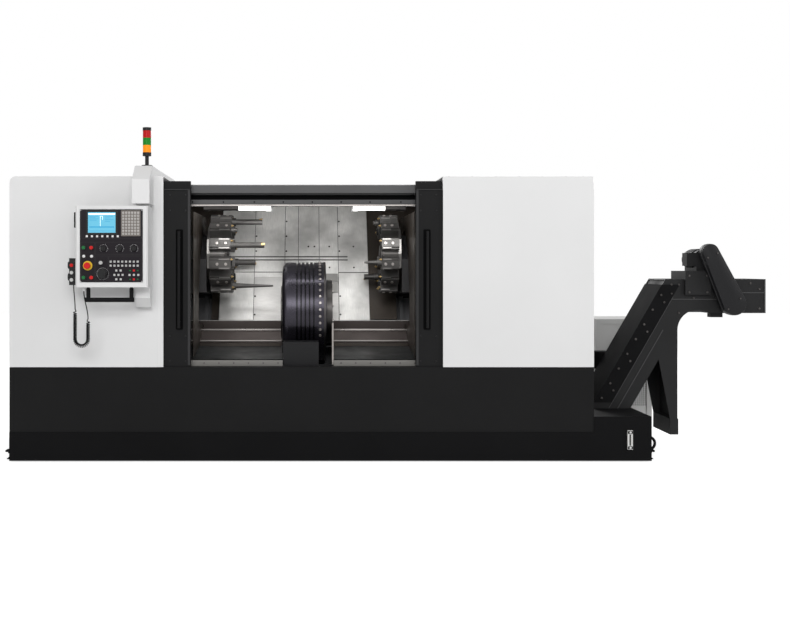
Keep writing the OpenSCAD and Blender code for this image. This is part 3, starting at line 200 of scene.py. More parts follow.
# %% [markdown]
# ## Facing the right way
# Shapes are drawn flat, with their height along the third number. Most of them then face the operator,
# and some face the back or one of the ends, so a turn and a place bring each to its wall.

# %% Turns and places
WAYS = {  # front is -Y, back is +Y, right is +X and left is -X
    "front": [[1, 0, 0], [0, 0, -1], [0, 1, 0]],
    "back": [[-1, 0, 0], [0, 0, 1], [0, 1, 0]],
    "right": [[0, 0, 1], [1, 0, 0], [0, 1, 0]],
    "left": [[0, 0, -1], [-1, 0, 0], [0, 1, 0]],
}


def facing(shape, way, place=(0, 0, 0)):
    """Turn times point + place: the shape's height goes along way."""
    points, faces = shape
    return points @ np.array(WAYS[way], float).T + np.asarray(place, float), faces


def moved(shape, place):
    """Point + place, not turned."""
    points, faces = shape
    return points + np.asarray(place, float), faces


def turned_about(shape, degrees, axis, centre):
    """Rotation by an angle about a line through centre along x, y or z."""
    c, s = math.cos(math.radians(degrees)), math.sin(math.radians(degrees))
    spin = {
        "x": [[1, 0, 0], [0, c, -s], [0, s, c]],
        "y": [[c, 0, s], [0, 1, 0], [-s, 0, c]],
        "z": [[c, -s, 0], [s, c, 0], [0, 0, 1]],
    }[axis]
    points, faces = shape
    return (points - centre) @ np.array(spin, float).T + centre, faces


def piece(name, shape, finish, body, sharp=35):
    """One object from a shape in machine millimetres: faces turned outwards, smooth up to the sharp angle."""
    points, faces = shape
    mesh = bpy.data.meshes.new(name)
    mesh.from_pydata(metres(points).tolist(), [], faces)
    work = bmesh.new()
    work.from_mesh(mesh)
    bmesh.ops.recalc_face_normals(work, faces=work.faces)
    work.to_mesh(mesh)
    work.free()
    mesh.polygons.foreach_set("use_smooth", np.ones(len(mesh.polygons), bool))
    mesh.set_sharp_from_angle(angle=math.radians(sharp))
    mesh.materials.append(finish)
    made = bpy.data.objects.new(name, mesh)
    bpy.context.scene.collection.objects.link(made)
    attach(made, body)
    print(name, len(mesh.polygons), "faces on", body)
    return made


print("ways to face:", *WAYS)

# %% [markdown]
# ## Finishes
# A finish starts from one Principled shader whose fixed numbers sit on its own sockets. What changes
# over the surface, such as a mottled colour, a worn gloss or a fine relief, comes from noise on Object
# coordinates, so the pattern has a real size in metres and stays put when a body moves.

# %% The parts every finish is made from


def new_finish(name, colour, roughness, metallic=0.0, specular=0.5):
    """One Principled shader with its fixed numbers set on its sockets."""
    finish = bpy.data.materials.new(name)
    finish.use_nodes = True
    finish.diffuse_color = (*colour, 1)
    skin = finish.node_tree.nodes["Principled BSDF"]
    skin.inputs["Base Color"].default_value = (*colour, 1)
    skin.inputs["Roughness"].default_value = roughness
    skin.inputs["Metallic"].default_value = metallic
    skin.inputs["Specular IOR Level"].default_value = specular
    return finish, finish.node_tree, skin


def feed(tree, socket, value):
    """Another node's output is linked to the socket, and a fixed value is set on it."""
    if isinstance(value, bpy.types.NodeSocket):
        tree.links.new(value, socket)
    else:
        socket.default_value = value


def calculate(tree, operation, first, second):
    """One Math node with two inputs."""
    node = tree.nodes.new("ShaderNodeMath")
    node.operation = operation
    feed(tree, node.inputs[0], first)
    feed(tree, node.inputs[1], second)
    return node.outputs[0]


def noise(tree, scale, stretch=(1, 1, 1), detail=3.0):
    """Noise on Object coordinates; a small stretch along an axis draws the pattern out along it."""
    where = tree.nodes.new("ShaderNodeTexCoord")
    spread = tree.nodes.new("ShaderNodeMapping")
    spread.inputs["Scale"].default_value = stretch
    grain = tree.nodes.new("ShaderNodeTexNoise")
    grain.inputs["Scale"].default_value = scale
    grain.inputs["Detail"].default_value = detail
    tree.links.new(where.outputs["Object"], spread.inputs["Vector"])
    tree.links.new(spread.outputs["Vector"], grain.inputs["Vector"])
    return grain.outputs["Fac"]


def spread_over(tree, amount, low, high, start=0.3, end=0.7):
    """Noise between start and end becomes a number between low and high."""
    span = tree.nodes.new("ShaderNodeMapRange")
    span.inputs["From Min"].default_value = start
    span.inputs["From Max"].default_value = end
    span.inputs["To Min"].default_value = low
    span.inputs["To Max"].default_value = high
    tree.links.new(amount, span.inputs["Value"])
    return span.outputs["Result"]


def two_tone(tree, amount, first, second):
    """Mix of two colours by amount: first at 0 and second at 1. A colour may also be another mix."""
    mix = tree.nodes.new("ShaderNodeMix")
    mix.data_type = "RGBA"
    tree.links.new(amount, mix.inputs["Factor"])
    for socket, colour in zip(mix.inputs[6:8], (first, second)):  # the two colour inputs of a Mix node
        feed(tree, socket, (*colour, 1) if isinstance(colour, tuple) else colour)
    return mix.outputs[2]


def relief(tree, skin, height, depth, strength=1.0):
    """Bump: the surface leans as if it were raised by height times depth metres."""
    bump = tree.nodes.new("ShaderNodeBump")
    bump.inputs["Distance"].default_value = depth
    bump.inputs["Strength"].default_value = strength
    tree.links.new(height, bump.inputs["Height"])
    tree.links.new(bump.outputs["Normal"], skin.inputs["Normal"])


def shade(colour, factor):
    """The colour made lighter or darker by a factor."""
    return tuple(min(1.0, c * factor) for c in colour)


print("finish parts ready")

# %% [markdown]
# ## Painted sheet, brushed steel and moulded plastic
# Powder coat has a fine orange peel and a slow change of gloss over a large panel. Brushed sheet has
# lines that run one way and dull patches where coolant has dried. Moulded plastic has an even, fine
# grain.

# %% Families of finish
MOTTLE_SCALE, GLOSS_SCALE, PEEL_SCALE = 1.7, 9.0, 240.0  # of paint, in noise cells to the metre
GLOSS_WANDER = 0.02
LINE_SCALE, STAIN_SCALE, DULL_SCALE = 420.0, 3.1, 5.3  # of brushed steel
DRIFT_SCALE, GRAIN_SCALE, GLOW_SCALE = 14.0, 1500.0, 20.0  # of plastic and of lit surfaces


def powder_coat(name, colour, roughness=0.45, specular=0.4, peel=0.0006, mottle=0.05):
    """Paint: slow mottle of colour, gloss that wanders, and an orange peel about 4 mm across."""
    finish, tree, skin = new_finish(name, colour, roughness, 0.0, specular)
    slow = spread_over(tree, noise(tree, MOTTLE_SCALE, detail=5.0), 0.0, 1.0)
    tone = two_tone(tree, slow, shade(colour, 1 - mottle), shade(colour, 1 + mottle))
    tree.links.new(tone, skin.inputs["Base Color"])
    cloud = noise(tree, GLOSS_SCALE, detail=4.0)
    wander = spread_over(tree, cloud, roughness - GLOSS_WANDER, roughness + GLOSS_WANDER)
    tree.links.new(wander, skin.inputs["Roughness"])
    relief(tree, skin, noise(tree, PEEL_SCALE, detail=2.0), peel, 0.25)
    return finish


def brushed(name, colour, roughness=0.35, lines=(1, 1, 0.02), stain=0.25, metallic=1.0):
    """Steel: fine lines drawn out along one axis, duller and darker where stains have dried."""
    finish, tree, skin = new_finish(name, colour, roughness, metallic)
    line = noise(tree, LINE_SCALE, lines, detail=4.0)
    patch = spread_over(tree, noise(tree, STAIN_SCALE, detail=8.0), 0.0, 1.0, 0.42, 0.68)
    bright = two_tone(tree, spread_over(tree, line, 0.0, 1.0), shade(colour, 0.88), shade(colour, 1.1))
    tone = two_tone(tree, patch, bright, shade(colour, 1 - stain))
    tree.links.new(tone, skin.inputs["Base Color"])
    gloss = spread_over(tree, noise(tree, DULL_SCALE, detail=6.0), roughness - 0.1, roughness + 0.15)
    tree.links.new(gloss, skin.inputs["Roughness"])
    relief(tree, skin, line, 0.0003, 0.2)
    return finish


def moulded(name, colour, roughness=0.5, grain=0.0002, specular=0.4):
    """Plastic: an even colour with a barely seen drift and a fine spark-eroded grain."""
    finish, tree, skin = new_finish(name, colour, roughness, 0.0, specular)
    drift = spread_over(tree, noise(tree, DRIFT_SCALE), 0.0, 1.0)
    tone = two_tone(tree, drift, shade(colour, 0.93), shade(colour, 1.05))
    tree.links.new(tone, skin.inputs["Base Color"])
    relief(tree, skin, noise(tree, GRAIN_SCALE, detail=1.0), grain, 0.2)
    return finish


def lit(name, colour, strength, roughness=0.3):
    """A surface that glows: its colour also leaves it as light."""
    finish, tree, skin = new_finish(name, colour, roughness, 0.0, 0.15)
    skin.inputs["Emission Color"].default_value = (*colour, 1)
    skin.inputs["Emission Strength"].default_value = strength
    drift = spread_over(tree, noise(tree, GLOW_SCALE), roughness - 0.05, roughness + 0.08)
    tree.links.new(drift, skin.inputs["Roughness"])
    return finish


print("families: powder_coat, brushed, moulded, lit")

# %% [markdown]
# ## The finishes of this machine
# White and black powder coat on the covers, a bluish dark steel on the drum, stainless sheet in the
# chamber, ground steel on the turrets. The blacks are low in gloss, because the real panels are
# textured and hardly mirror the room.

# %% Paints
WHITE = powder_coat("white_coat", (0.80, 0.80, 0.80), 0.55, 0.2, mottle=0.015)
BASE_BLACK = powder_coat("base_black", (0.0095, 0.0095, 0.0098), 0.55, 0.08, mottle=0.12)
TANK_BLACK = powder_coat("tank_black", (0.0058, 0.0058, 0.0062), 0.6, 0.05, mottle=0.15)
DOOR_BLACK = powder_coat("door_black", (0.0098, 0.0098, 0.0102), 0.5, 0.09, mottle=0.1)
BEAM_GREY = powder_coat("beam_grey", (0.078, 0.078, 0.080), 0.45, 0.3, mottle=0.1)
CONVEYOR = powder_coat("conveyor_black", (0.0150, 0.0150, 0.0155), 0.5, 0.14, mottle=0.25)
GUARD_FACE = powder_coat("guard_face", (0.011, 0.011, 0.012), 0.42, 0.16, mottle=0.2)
CABINET = powder_coat("cabinet_grey", (0.66, 0.66, 0.65), 0.5, 0.3, mottle=0.05)
CASTING = powder_coat("casting_grey", (0.13, 0.13, 0.135), 0.6, 0.3, peel=0.0015, mottle=0.15)
HOUSING = powder_coat("housing_dark", (0.020, 0.019, 0.020), 0.42, 0.3, mottle=0.25)
CONVEYOR_EDGE = powder_coat("conveyor_edge", (0.040, 0.040, 0.041), 0.45, 0.3, mottle=0.2)
CONVEYOR_LID = powder_coat("conveyor_lid", (0.0100, 0.0100, 0.0105), 0.7, 0.02, mottle=0.3)
# Painted highlight: this lighter grey stands for the light caught by the door's bevel and top lip.
DOOR_HIGHLIGHT = powder_coat("door_edge_highlight", (0.026, 0.026, 0.027), 0.45, 0.2, mottle=0.1)
print("paints:", len(bpy.data.materials))

# %% Metals
LINING = brushed("lining_steel", (0.78, 0.77, 0.745), 0.42, (1, 0.05, 0.05), stain=0.48, metallic=0.40)
LINER = brushed("liner_sheet", (0.50, 0.49, 0.475), 0.40, (0.05, 1, 1), stain=0.30, metallic=0.55)
SHIELD = brushed("shield_steel", (0.050, 0.040, 0.032), 0.38, (1, 0.05, 0.05), stain=0.5, metallic=0.5)
SILL = brushed("sill_steel", (0.30, 0.295, 0.28), 0.42, (0.02, 1, 1), stain=0.5, metallic=0.5)
DRUM = brushed("drum_steel", (0.034, 0.031, 0.041), 0.23, (1, 0.02, 0.02), stain=0.4, metallic=0.75)
DARK_STEEL = brushed("dark_steel", (0.085, 0.08, 0.078), 0.4, (1, 0.05, 0.05), stain=0.5)
GROUND = brushed("ground_steel", (0.26, 0.25, 0.24), 0.34, (1, 0.05, 0.05), stain=0.5)
HOLDER = brushed("holder_steel", (0.12, 0.115, 0.11), 0.5, (0.1, 1, 1), stain=0.6, metallic=0.75)
BRIGHT = brushed("bright_strip", (0.42, 0.39, 0.37), 0.32, (0.02, 1, 1), stain=0.4, metallic=0.8)
WALL_RAIL = brushed("wall_rail", (0.16, 0.155, 0.15), 0.4, (0.02, 1, 1), stain=0.4, metallic=0.6)
BRASS = brushed("brass_tip", (0.42, 0.30, 0.14), 0.34, (1, 1, 0.1), stain=0.3)
BELT = brushed("belt_steel", (0.025, 0.025, 0.026), 0.65, (1, 0.05, 1), stain=0.5, metallic=0.15)
ZINC = brushed("zinc_bolt", (0.55, 0.55, 0.55), 0.32, (1, 1, 1), stain=0.15)
print("metals ready")

# %% Plastics, glass and lights
PLASTIC = moulded("black_plastic", (0.009, 0.009, 0.0095), 0.45, specular=0.2)
# Painted shade in the wall's panel gaps, the pull recesses and the cooler's holes and slots; real black for
# gaskets, hinge, strips and screws.
SHADOW = moulded("shade_and_joint_black", (0.0025, 0.0025, 0.0027), 0.7, specular=0.03)
HOSE = moulded("hose_rubber", (0.0065, 0.0065, 0.007), 0.6, 0.0004, specular=0.08)
PANEL = moulded("panel_film", (0.0125, 0.0098, 0.0128), 0.5, specular=0.12)
KEY_GREY = moulded("key_grey", (0.50, 0.48, 0.46), 0.5)
KEY_FIELD = moulded("key_field", (0.17, 0.15, 0.135), 0.5)
KNOB_GREY = moulded("knob_grey", (0.55, 0.55, 0.54), 0.4)
RED = moulded("red_cap", (0.60, 0.008, 0.008), 0.35, specular=0.25)
GREEN = moulded("green_cap", (0.008, 0.14, 0.035), 0.35, specular=0.25)
YELLOW = moulded("yellow_ring", (0.80, 0.52, 0.02), 0.35)
MARKS = moulded("white_marks", (0.78, 0.78, 0.78), 0.5)
GAUGE = moulded("gauge_white", (0.72, 0.72, 0.70), 0.35)
LENS_RED = lit("lens_red", (0.46, 0.008, 0.008), 0.12)
LENS_GREEN = lit("lens_green", (0.006, 0.21, 0.015), 0.12)
LENS_AMBER = lit("lens_amber", (0.85, 0.27, 0.01), 0.30)
TUBE_LIGHT = lit("tube_light", (1.0, 0.99, 0.95), 3.0)
SCREEN = lit("screen_blue", (0.12, 0.42, 0.58), 0.45)
GLASS, glass_tree, glass_skin = new_finish("window_glass", (0.80, 0.86, 0.86), 0.03)
glass_skin.inputs["Transmission Weight"].default_value = 1.0
glass_skin.inputs["IOR"].default_value = 1.45
glass_film = spread_over(glass_tree, noise(glass_tree, 6.0, detail=6.0), 0.02, 0.12, 0.4, 0.7)
glass_tree.links.new(glass_film, glass_skin.inputs["Roughness"])
print("finishes:", len(bpy.data.materials))

# %% [markdown]
# ## Dressing the CAD solids
# Paint, steel, plastic and glass meet at the joints between solids, so one finish to a solid is nearly
# always right. Materials could be given face by face, but a solid's mesh stays as the pack made it, so
# one table from finish to solids is enough.

# %% Solid by solid
DRESS = {
    CASTING: ["bed", "left_saddle", "right_saddle"],
    BASE_BLACK: ["base_cover"],
    TANK_BLACK: ["coolant_tank", "levelling_feet", "coolant_pump"],
    WHITE: ["left_cover", "right_cover", "rear_cover", "signal_arm", "pendant_case"],
    BEAM_GREY: ["top_beam"],
    LINER: ["chamber_liner"],
    SHIELD: ["left_shield", "right_shield"],
    TUBE_LIGHT: ["work_lamps"],
    PLASTIC: ["tower_stand", "pendant_handle", "left_knob", "middle_knob", "right_knob", "handwheel",
              "hand_unit"],
    LENS_RED: ["lens_red"],
    LENS_GREEN: ["lens_green"],
    LENS_AMBER: ["lens_amber"],
    DRUM: ["headstock"],
    GROUND: ["left_turret", "right_turret"],
    DARK_STEEL: ["spindle"],
    HOLDER: ["left_tools", "right_tools"],
    HOUSING: ["left_turret_head", "right_turret_head"],
    CABINET: ["cooler_cabinet"],
    GAUGE: ["level_gauge"],
    CONVEYOR: ["conveyor_trough", "gearmotor"],
    CONVEYOR_LID: ["conveyor_cover"],
    GUARD_FACE: ["chain_guard", "drum_guard"],
    BELT: ["conveyor_belt"],
    DOOR_BLACK: ["left_door", "right_door", "left_handle", "right_handle"],
    GLASS: ["left_window", "right_window"],
    PANEL: ["pendant_panel"],
    SCREEN: ["pendant_screen"],
    RED: ["e_stop", "upper_stop", "lower_stop"],
    GREEN: ["upper_start", "lower_start"],
    KNOB_GREY: ["mode_knob"],
    HOSE: ["coolant_pipes", "cord_leads", "cord_curl"],
}
for finish, solids in DRESS.items():
    for solid in solids:
        faces = frame["nodes"][solid].data
        faces.materials.clear()
        faces.materials.append(finish)
print("dressed:", sum(map(len, DRESS.values())), "of", len(frame["nodes"]))

# %% [markdown]
# ## One solid, several colours
# The chamber lining is one folded sheet, but the pan lies under coolant and chips, the ledges are oiled
# and dark and the sill is a dull grey. The solid stays as it is: a test on Object coordinates says
# where each colour begins, so the shader does the masking. The floors of the drum's cooling grooves
# are painted black in the same way, as painted shade in the grooves.

# %% Colours chosen by place
FREE = None


def within(tree, low, high):
    """1 inside a box given by two corners in machine millimetres; FREE leaves a side open."""
    where = tree.nodes.new("ShaderNodeTexCoord")
    split = tree.nodes.new("ShaderNodeSeparateXYZ")
    tree.links.new(where.outputs["Object"], split.inputs[0])
    tests = []
    for corner, operation in ((low, "GREATER_THAN"), (high, "LESS_THAN")):
        for axis, side in enumerate(corner):
            if side is not FREE:
                limit = (side - CENTRE[axis]) / 1000
                tests.append(calculate(tree, operation, split.outputs[axis], limit))
    result = tests[0]
    for test in tests[1:]:
        result = calculate(tree, "MULTIPLY", result, test)
    return result


def tint(finish, mask, colour):
    """Where the mask is 1 the colour takes over from what the finish had there."""
    skin = finish.node_tree.nodes["Principled BSDF"].inputs["Base Color"]
    before = skin.links[0].from_socket
    finish.node_tree.links.new(two_tone(finish.node_tree, mask, before, colour), skin)


ZONES = {  # low corner, high corner and colour
    "ledges": ((FREE, 590, FREE), (FREE, FREE, 852), (0.040, 0.031, 0.028)),
    "pan": ((FREE, FREE, FREE), (FREE, 610, 700), (0.050, 0.053, 0.054)),
    "sill": ((FREE, FREE, FREE), (FREE, 150, 645), (0.17, 0.165, 0.155)),
}
for low, high, colour in ZONES.values():
    tint(LINER, within(LINER.node_tree, low, high), colour)
print("zones of the lining:", len(ZONES) + 1)

# %% Painted shade: black floors in the drum's grooves
DRUM_RADIUS = 340.0
DRUM_AXIS = np.array([0.0, 600.0, 930.0])
GROOVES_LEFT, GROOVES_RIGHT = 1816, 1946
SKIN = 1.5  # how far under the drum's surface the black begins


def vector_step(tree, operation, first, second=None):
    """One Vector Math node; a length needs only its first input."""
    node = tree.nodes.new("ShaderNodeVectorMath")
    node.operation = operation
    feed(tree, node.inputs[0], first)
    if second is not None:
        node.inputs[1].default_value = second
    return node.outputs


def far_from_axis(tree, axis):
    """Distance from a line along X: the length of (point - axis) * (0, 1, 1)."""
    where = tree.nodes.new("ShaderNodeTexCoord").outputs["Object"]
    offset = vector_step(tree, "SUBTRACT", where, tuple(metres(axis)))[0]
    across = vector_step(tree, "MULTIPLY", offset, (0, 1, 1))[0]
    return vector_step(tree, "LENGTH", across)["Value"]


drum_tree = DRUM.node_tree
deep = calculate(drum_tree, "LESS_THAN", far_from_axis(drum_tree, DRUM_AXIS), (DRUM_RADIUS - SKIN) / 1000)
grooved = within(drum_tree, (GROOVES_LEFT, FREE, FREE), (GROOVES_RIGHT, FREE, FREE))
# Painted shade: the groove floors below the skin are tinted near black.
tint(DRUM, calculate(drum_tree, "MULTIPLY", deep, grooved), (0.004, 0.004, 0.005))
print("drum radius:", DRUM_RADIUS)

# %% [markdown]
# ## Camera, floor and light
# The photograph looks straight at the doors from the height of the control panel, a little left of the
# middle, so the lens is shifted rather than turned and upright lines stay upright. Large soft boxes in
# front, at the right and behind, and a pale room, light it evenly. Three small boxes light the chamber
# from under the beam. The floor and the room are white only to rays that the eye follows.

# %% Camera
lens = bpy.data.cameras.new("view")
lens.lens = 50.2  # millimetres, on the usual 36 mm sensor
lens.shift_x = 0.115
lens.shift_y = -0.065
viewer = bpy.data.objects.new("view", lens)
viewer.location = (-0.5885, -7.653, 1.251)
viewer.rotation_euler = (math.pi / 2, 0, 0)
bpy.context.scene.collection.objects.link(viewer)
bpy.context.scene.camera = viewer
bpy.context.scene.view_settings.view_transform = "Standard"
print("camera at", tuple(viewer.location))

# %% White only to the eye


def seen_or_lit(tree, seen, lighting):
    """The seen shader for camera, glossy and transmission rays, the lighting one for the rest."""
    ray = tree.nodes.new("ShaderNodeLightPath").outputs
    direct = calculate(tree, "MAXIMUM", ray["Is Camera Ray"], ray["Is Glossy Ray"])
    followed = calculate(tree, "MAXIMUM", direct, ray["Is Transmission Ray"])
    mix = tree.nodes.new("ShaderNodeMixShader")
    for socket, source in zip(mix.inputs, (followed, lighting, seen)):
        tree.links.new(source, socket)
    return mix.outputs[0]


room = bpy.data.worlds.new("pale_room")
room.use_nodes = True
bpy.context.scene.world = room
sky = room.node_tree
sky.nodes.clear()
white = sky.nodes.new("ShaderNodeBackground")
white.inputs["Strength"].default_value = 1.0
soft = sky.nodes.new("ShaderNodeBackground")
soft.inputs["Strength"].default_value = 0.37
outside = sky.nodes.new("ShaderNodeOutputWorld")
for shader in (white, soft):
    shader.inputs["Color"].default_value = (1, 1, 1, 1)
sky.links.new(seen_or_lit(sky, white.outputs[0], soft.outputs[0]), outside.inputs["Surface"])
print("room light:", soft.inputs["Strength"].default_value)

# %% Floor
FLOOR_SIZE = 40.0
FLOOR_LEVEL = -0.0005  # just under the feet
floor_mesh = bpy.data.meshes.new("floor")
floor_corner = FLOOR_SIZE * (np.array([[0, 0], [1, 0], [1, 1], [0, 1]]) - 0.5)
floor_mesh.from_pydata(np.c_[floor_corner, np.full(4, FLOOR_LEVEL)].tolist(), [], [[0, 1, 2, 3]])
floor = bpy.data.objects.new("floor", floor_mesh)
bpy.context.scene.collection.objects.link(floor)
pale = bpy.data.materials.new("pale_floor")
pale.use_nodes = True
ground = pale.node_tree
ground.nodes.clear()
matt = ground.nodes.new("ShaderNodeBsdfDiffuse")
matt.inputs["Color"].default_value = (0.80, 0.80, 0.80, 1)
glow = ground.nodes.new("ShaderNodeEmission")
glow.inputs["Strength"].default_value = 0.72
sum_up = ground.nodes.new("ShaderNodeAddShader")
surface = ground.nodes.new("ShaderNodeOutputMaterial")
ground.links.new(matt.outputs[0], sum_up.inputs[0])
ground.links.new(glow.outputs[0], sum_up.inputs[1])
ground.links.new(seen_or_lit(ground, sum_up.outputs[0], matt.outputs[0]), surface.inputs["Surface"])
floor_mesh.materials.append(pale)
print("floor:", FLOOR_SIZE, "m wide")

# %% Soft boxes


def soft_box(name, place, aim, width, height, watts):
    """An area lamp at place that looks at aim."""
    lamp = bpy.data.lights.new(name, "AREA")
    lamp.shape = "RECTANGLE"
    lamp.size = width
    lamp.size_y = height
    lamp.energy = watts
    box = bpy.data.objects.new(name, lamp)
    forward = np.array(aim, float) - np.array(place, float)
    forward /= np.linalg.norm(forward)
    box.location = place
    box.rotation_euler = (math.acos(-forward[2]), 0, math.atan2(forward[0], -forward[1]) + math.pi)
    bpy.context.scene.collection.objects.link(box)
    return box


soft_box("front_box", (-1.5, -8.5, 4.5), (-0.3, 0, 1.0), 6.0, 3.0, 350)
soft_box("side_box", (7.0, -4.5, 3.8), (0.8, 0, 1.0), 3.5, 3.0, 140)
soft_box("back_box", (0.0, 8.0, 4.5), (0, 0, 1.0), 6.0, 3.0, 280)
soft_box("chamber_box", metres([1870, 230, 1655]), metres([1870, 1100, 1320]), 1.5, 0.12, 5.5)
for side, x in (("left", 1560), ("right", 2210)):
    glare = soft_box(side + "_glare", metres([x, 691, 1527]), metres([x, 991, 1007]), 0.25, 0.08, 0.4)
    glare.visible_camera = False

# %% [markdown]
# ## The hand unit's curly cord
# The cord leaves the bottom of the hand unit, hangs in a tight spiral, turns at its lowest point and
# climbs back to the pendant's edge. A cloth or rope simulation could hang it, but its length would then
# be a matter of luck. Here it is one line: a straight lead, a circle carried along a hanging loop, and
# a second lead. At each end the spiral widens first and tightens after, so that the line stays smooth.

# %% Route of the cord
CORD_DEPTH = -175.0
CORD_RADIUS = 3.25
SPIRAL_RADIUS = 9.25
TURNS = 42
LOOP_RADIUS = 40.0
LOOP_MIDDLE = (494.0, 790.0)
FIRST_LEAD = ((445.0, 1128.0), (454.0, 980.0))  # start and end, as (x, z)
SECOND_LEAD = ((534.0, 920.0), (508.0, 1090.0))
STRAIGHT_STEPS, BEND_STEPS = 60, 90
drop = np.linspace(FIRST_LEAD[1][1], LOOP_MIDDLE[1], STRAIGHT_STEPS)
swing = np.linspace(np.pi, 2 * np.pi, BEND_STEPS)
rise = np.linspace(LOOP_MIDDLE[1], SECOND_LEAD[0][1], STRAIGHT_STEPS)
bend = np.array(LOOP_MIDDLE) + LOOP_RADIUS * np.stack([np.cos(swing), np.sin(swing)], axis=-1)
loop = np.vstack([
    np.c_[np.full(STRAIGHT_STEPS, LOOP_MIDDLE[0] - LOOP_RADIUS), drop],
    bend[1:-1],
    np.c_[np.full(STRAIGHT_STEPS, LOOP_MIDDLE[0] + LOOP_RADIUS), rise],
])
loop_run = np.r_[0, np.cumsum(np.linalg.norm(np.diff(loop, axis=0), axis=1))]
print("hanging loop:", round(loop_run[-1]), "mm")

# %% Circle carried along the loop
WIDEN = 22.0  # length over which the spiral grows from the lead to its full radius
TIGHTEN = 44.0  # length over which it comes up to its full number of turns
LEAD_STEPS = 24
TURN_STEPS = 24


def ease(share):
    """3 s^2 - 2 s^3 between 0 and 1: starts and ends level."""
    share = np.clip(share, 0, 1)
    return share**2 * (3 - 2 * share)


def spiral(count):
    """Loop point + radius * (cos a * side + sin a * depth), where a runs through all the turns."""
    run = np.linspace(0, loop_run[-1], count)
    middle = np.stack([np.interp(run, loop_run, loop[:, k]) for k in (0, 1)], axis=-1)
    along = np.gradient(middle, axis=0)
    along /= np.linalg.norm(along, axis=1)[:, None]
    side = np.stack([-along[:, 1], along[:, 0]], axis=-1)
    from_end = np.minimum(run, loop_run[-1] - run)
    radius = SPIRAL_RADIUS * ease(from_end / WIDEN)
    speed = ease(from_end / TIGHTEN)
    angle = 2 * np.pi * TURNS * np.cumsum(speed) / speed.sum()
    flat = middle + (radius * np.cos(angle))[:, None] * side
    return np.c_[flat[:, 0], CORD_DEPTH + radius * np.sin(angle), flat[:, 1]]


def lead(start, end, count):
    """A lead at constant depth: it rises or drops evenly and eases sideways on the way."""
    share = np.linspace(0, 1, count)
    across = start[0] + (end[0] - start[0]) * ease(share)
    return np.c_[across, np.full(count, CORD_DEPTH), start[1] + (end[1] - start[1]) * share]


cord_line = metres(np.vstack([
    lead(*FIRST_LEAD, LEAD_STEPS)[:-1],
    spiral(TURNS * TURN_STEPS),
    lead(*SECOND_LEAD, LEAD_STEPS)[1:],
]))

# %% The cord as one curve
cord_curve = bpy.data.curves.new("curly_cord", "CURVE")
cord_curve.dimensions = "3D"
cord_curve.bevel_depth = CORD_RADIUS / 1000
cord_curve.bevel_resolution = 3
cord_spline = cord_curve.splines.new("POLY")
cord_spline.points.add(len(cord_line) - 1)
cord_spline.points.foreach_set("co", np.c_[cord_line, np.ones(len(cord_line))].ravel())
cord_spline.use_smooth = True
cord_curve.materials.append(HOSE)
curly_cord = bpy.data.objects.new("curly_cord", cord_curve)
bpy.context.scene.collection.objects.link(curly_cord)
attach(curly_cord, "pendant")
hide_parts("cord_leads", "cord_curl")
print("cord points:", len(cord_line))

# %% [markdown]
# ## Frames and rings
# Bezels, gaskets and dial rings are hollow in the middle. A Boolean could cut the hole, but it leaves
# uneven faces. They are the same stack of outlines as a plate, with the last outline joined back to the
# first, so the surface closes on itself like a picture frame.

# %% Hollow shapes


def hollow(rings):
    """A stack whose last ring joins its first: side faces only, closed both ways."""
    rings = np.asarray(rings, float)
    count, size = rings.shape[:2]
    faces = np.array(grid_faces(count + 1, size, around=True))
    return rings.reshape(-1, 3), (faces % (count * size)).tolist()


def border(width, height, rim, thick, corner=3.0):
    """Picture frame: outer outline at 0 and thick, inner outline at thick and 0."""
    outer = rounded(width, height, corner)
    inner = rounded(width - 2 * rim, height - 2 * rim, max(corner - rim, 0.3))
    section = ((outer, 0), (outer, thick), (inner, thick), (inner, 0))
    return hollow([np.c_[line, np.full(len(line), h)] for line, h in section])


def washer(inner, outer, thick, sides=32):
    """Ring of rectangular section: the four corners of the section turned round the axis."""
    angle = np.arange(sides) * 2 * np.pi / sides
    circle = np.stack([np.cos(angle), np.sin(angle)], axis=-1)
    section = ((outer, 0), (outer, thick), (inner, thick), (inner, 0))
    return hollow([np.c_[r * circle, np.full(sides, h)] for r, h in section])


def spun(shape, degrees, axis, centre):
    """The shape repeated at each angle round an axis."""
    return together(*[turned_about(shape, angle, axis, np.asarray(centre, float)) for angle in degrees])


print("faces of a washer:", len(washer(5, 8, 1)[1]))

# %% [markdown]
# ## The operating panel
# The panel is one dark film with raised keys. They could be painted on with a texture, but real caps
# catch the light at their edges, so each key is a small plate. Places are shares of the panel's width
# and height, as they are in the solids.

# %% Places on the panel
PANEL_LOW = np.array([495.5, -234.0, 1146.2])
PANEL_SIZE = np.array([386.0, 448.0])


def on_panel(shares, lift=0.0):
    """Panel corner + share * panel size, lifted off the film towards the operator."""
    flat = np.atleast_2d(shares) * PANEL_SIZE
    depth = np.full(len(flat), PANEL_LOW[1] - lift)
    return np.c_[PANEL_LOW[0] + flat[:, 0], depth, PANEL_LOW[2] + flat[:, 1]]


def key_field(low, high, columns, rows):
    """Middles of the cells of an even grid between two corners."""
    across = low[0] + (high[0] - low[0]) * (np.arange(columns) + 0.5) / columns
    up = low[1] + (high[1] - low[1]) * (np.arange(rows) + 0.5) / rows
    return np.array([(x, z) for x in across for z in up])


print("panel's far corner:", on_panel([(1, 1)])[0])

